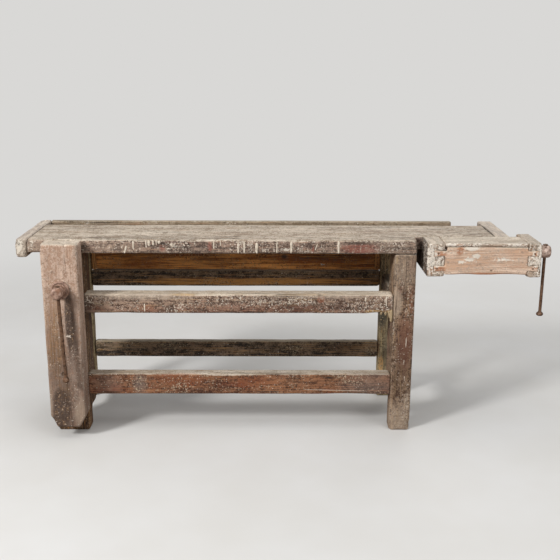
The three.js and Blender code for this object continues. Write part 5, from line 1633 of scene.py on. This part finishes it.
@dataclass
class Studio:
    """A pale floor, soft lamps and the camera."""

    floor_colour: str = "#d3d1cd"
    room_colour: str = "#d9d8d6"
    bounce_colour: str = "#8a7f78"
    room_level: float = 0.36
    camera_at: Triple = (-0.04405, -3.3672, 1.50346)
    camera_lens: float = 54.80
    camera_turn: Triple = (75.083, -0.505, 0.272)
    key_watts: float = 300.0
    fill_watts: float = 60.0
    sky_watts: float = 34.0
    back_watts: float = 45.0

    def lamp(self, name: str, at: Triple, size: float, watts: float) -> None:
        """Adds a soft square lamp aimed at the bench.

        Args:
            name: the lamp's name.
            at: where it hangs, in metres.
            size: its side, in metres.
            watts: its power.
        """
        light = bpy.data.lights.new(name, "AREA")
        light.size = size
        light.energy = watts
        lamp = bpy.data.objects.new(name, light)
        lamp.location = at
        lamp.rotation_euler = (Vector((0, 0, 0.45)) - Vector(at)).to_track_quat("-Z", "Y").to_euler()
        bpy.context.scene.collection.objects.link(lamp)

    def floor(self) -> None:
        """Lays the floor: sealed concrete, nearly even, with the bench's shadow on it."""
        mesh = bpy.data.meshes.new("studio_floor")
        reach = 30.0
        mesh.from_pydata([(-reach, -reach, 0), (reach, -reach, 0), (reach, reach, 0), (-reach, reach, 0)], [],
                         [(0, 1, 2, 3)])
        ground = mesh_object("studio_floor", mesh)
        material, tree = new_material("sealed_concrete_pale")
        spot = add_node(tree, "ShaderNodeTexCoord").outputs["Object"]
        clouds = patches(tree, spot, (600, 600, 600), 0.3, 0.7, 3)
        tone = add_node(tree, "ShaderNodeMix", {
            "Factor_Float": clouds, "A_Color": linear(self.floor_colour), "B_Color": linear(self.room_colour)},
            data_type="RGBA")
        ground_shader = add_node(tree, "ShaderNodeBsdfPrincipled", {"Base Color": tone.outputs[2], "Roughness": 0.85})
        # Beyond the bench's shadow the floor fades into the backdrop, and it throws little light back up.
        away = add_node(tree, "ShaderNodeVectorMath", {0: spot}, operation="LENGTH")
        fade = add_node(tree, "ShaderNodeMapRange", {
            "Value": away.outputs["Value"], "From Min": 1.2, "From Max": 4.0}, interpolation_type="SMOOTHSTEP")
        glow = add_node(tree, "ShaderNodeEmission", {"Color": linear(self.room_colour), "Strength": 1.0})
        shown = add_node(tree, "ShaderNodeMixShader", {
            0: fade.outputs[0], 1: ground_shader.outputs[0], 2: glow.outputs[0]})
        dull = add_node(tree, "ShaderNodeBsdfDiffuse", {"Color": linear(self.bounce_colour)})
        path = add_node(tree, "ShaderNodeLightPath")
        both = add_node(tree, "ShaderNodeMixShader", {
            0: path.outputs["Is Camera Ray"], 1: dull.outputs[0], 2: shown.outputs[0]})
        add_node(tree, "ShaderNodeOutputMaterial", {"Surface": both.outputs[0]})
        mesh.materials.append(material)

    def room(self) -> None:
        """Sets the even light of the room, and a pale backdrop where the camera sees it."""
        world = bpy.data.worlds.new("pale_room")
        world.use_nodes = True
        tree = world.node_tree
        tree.nodes.clear()
        path = add_node(tree, "ShaderNodeLightPath")
        light = add_node(tree, "ShaderNodeBackground", {"Color": linear("#ffffff"), "Strength": self.room_level})
        backdrop = add_node(tree, "ShaderNodeBackground", {"Color": linear(self.room_colour), "Strength": 1.0})
        shown = add_node(tree, "ShaderNodeMixShader", {
            0: path.outputs["Is Camera Ray"], 1: light.outputs[0], 2: backdrop.outputs[0]})
        add_node(tree, "ShaderNodeOutputWorld", {"Surface": shown.outputs[0]})
        bpy.context.scene.world = world

    def camera(self) -> None:
        """Sets the camera at the photograph's angle."""
        lens = bpy.data.cameras.new("view")
        lens.lens = self.camera_lens
        lens.sensor_width = 36.0
        camera = bpy.data.objects.new("view", lens)
        pitch, yaw, roll = (math.radians(turn) for turn in self.camera_turn)
        turn = Matrix.Rotation(yaw, 4, "Z") @ Matrix.Rotation(pitch, 4, "X") @ Matrix.Rotation(roll, 4, "Z")
        camera.location = self.camera_at
        camera.rotation_euler = turn.to_euler()
        bpy.context.scene.collection.objects.link(camera)
        bpy.context.scene.camera = camera
        bpy.context.scene.view_settings.view_transform = "Standard"

    def build(self) -> None:
        """Sets up the whole studio."""
        self.camera()
        self.floor()
        self.room()
        self.lamp("left_key", (-4.3, -3.6, 3.7), 1.1, self.key_watts)
        self.lamp("right_fill", (3.2, -3.6, 2.4), 2.2, self.fill_watts)
        self.lamp("overhead", (0.0, -0.6, 3.4), 3.0, self.sky_watts)
        self.lamp("behind", (1.6, 4.2, 2.2), 2.4, self.back_watts)


def main() -> None:
    """Builds the studio and the bench, sub-assembly by sub-assembly."""
    logging.basicConfig(level=logging.INFO, format="%(name)s: %(message)s")
    Studio().build()
    shop = Workshop()
    top, base, leg_vise, tail_vise = BenchTop(), BenchFrame(), LegVise(), TailVise()
    for assembly in (top, base, leg_vise, tail_vise):
        assembly.build()
        assembly.dress(shop)
    shop.splash("plaster_spatter_on_bench", [*top.timbers[:3], *base.timbers[1:4]], Body.BENCH, 2200, 97)
    for shape in [shape for shape in bpy.data.meshes if shape.users == 0]:
        bpy.data.meshes.remove(shape)


if __name__ == "__main__":
    main()
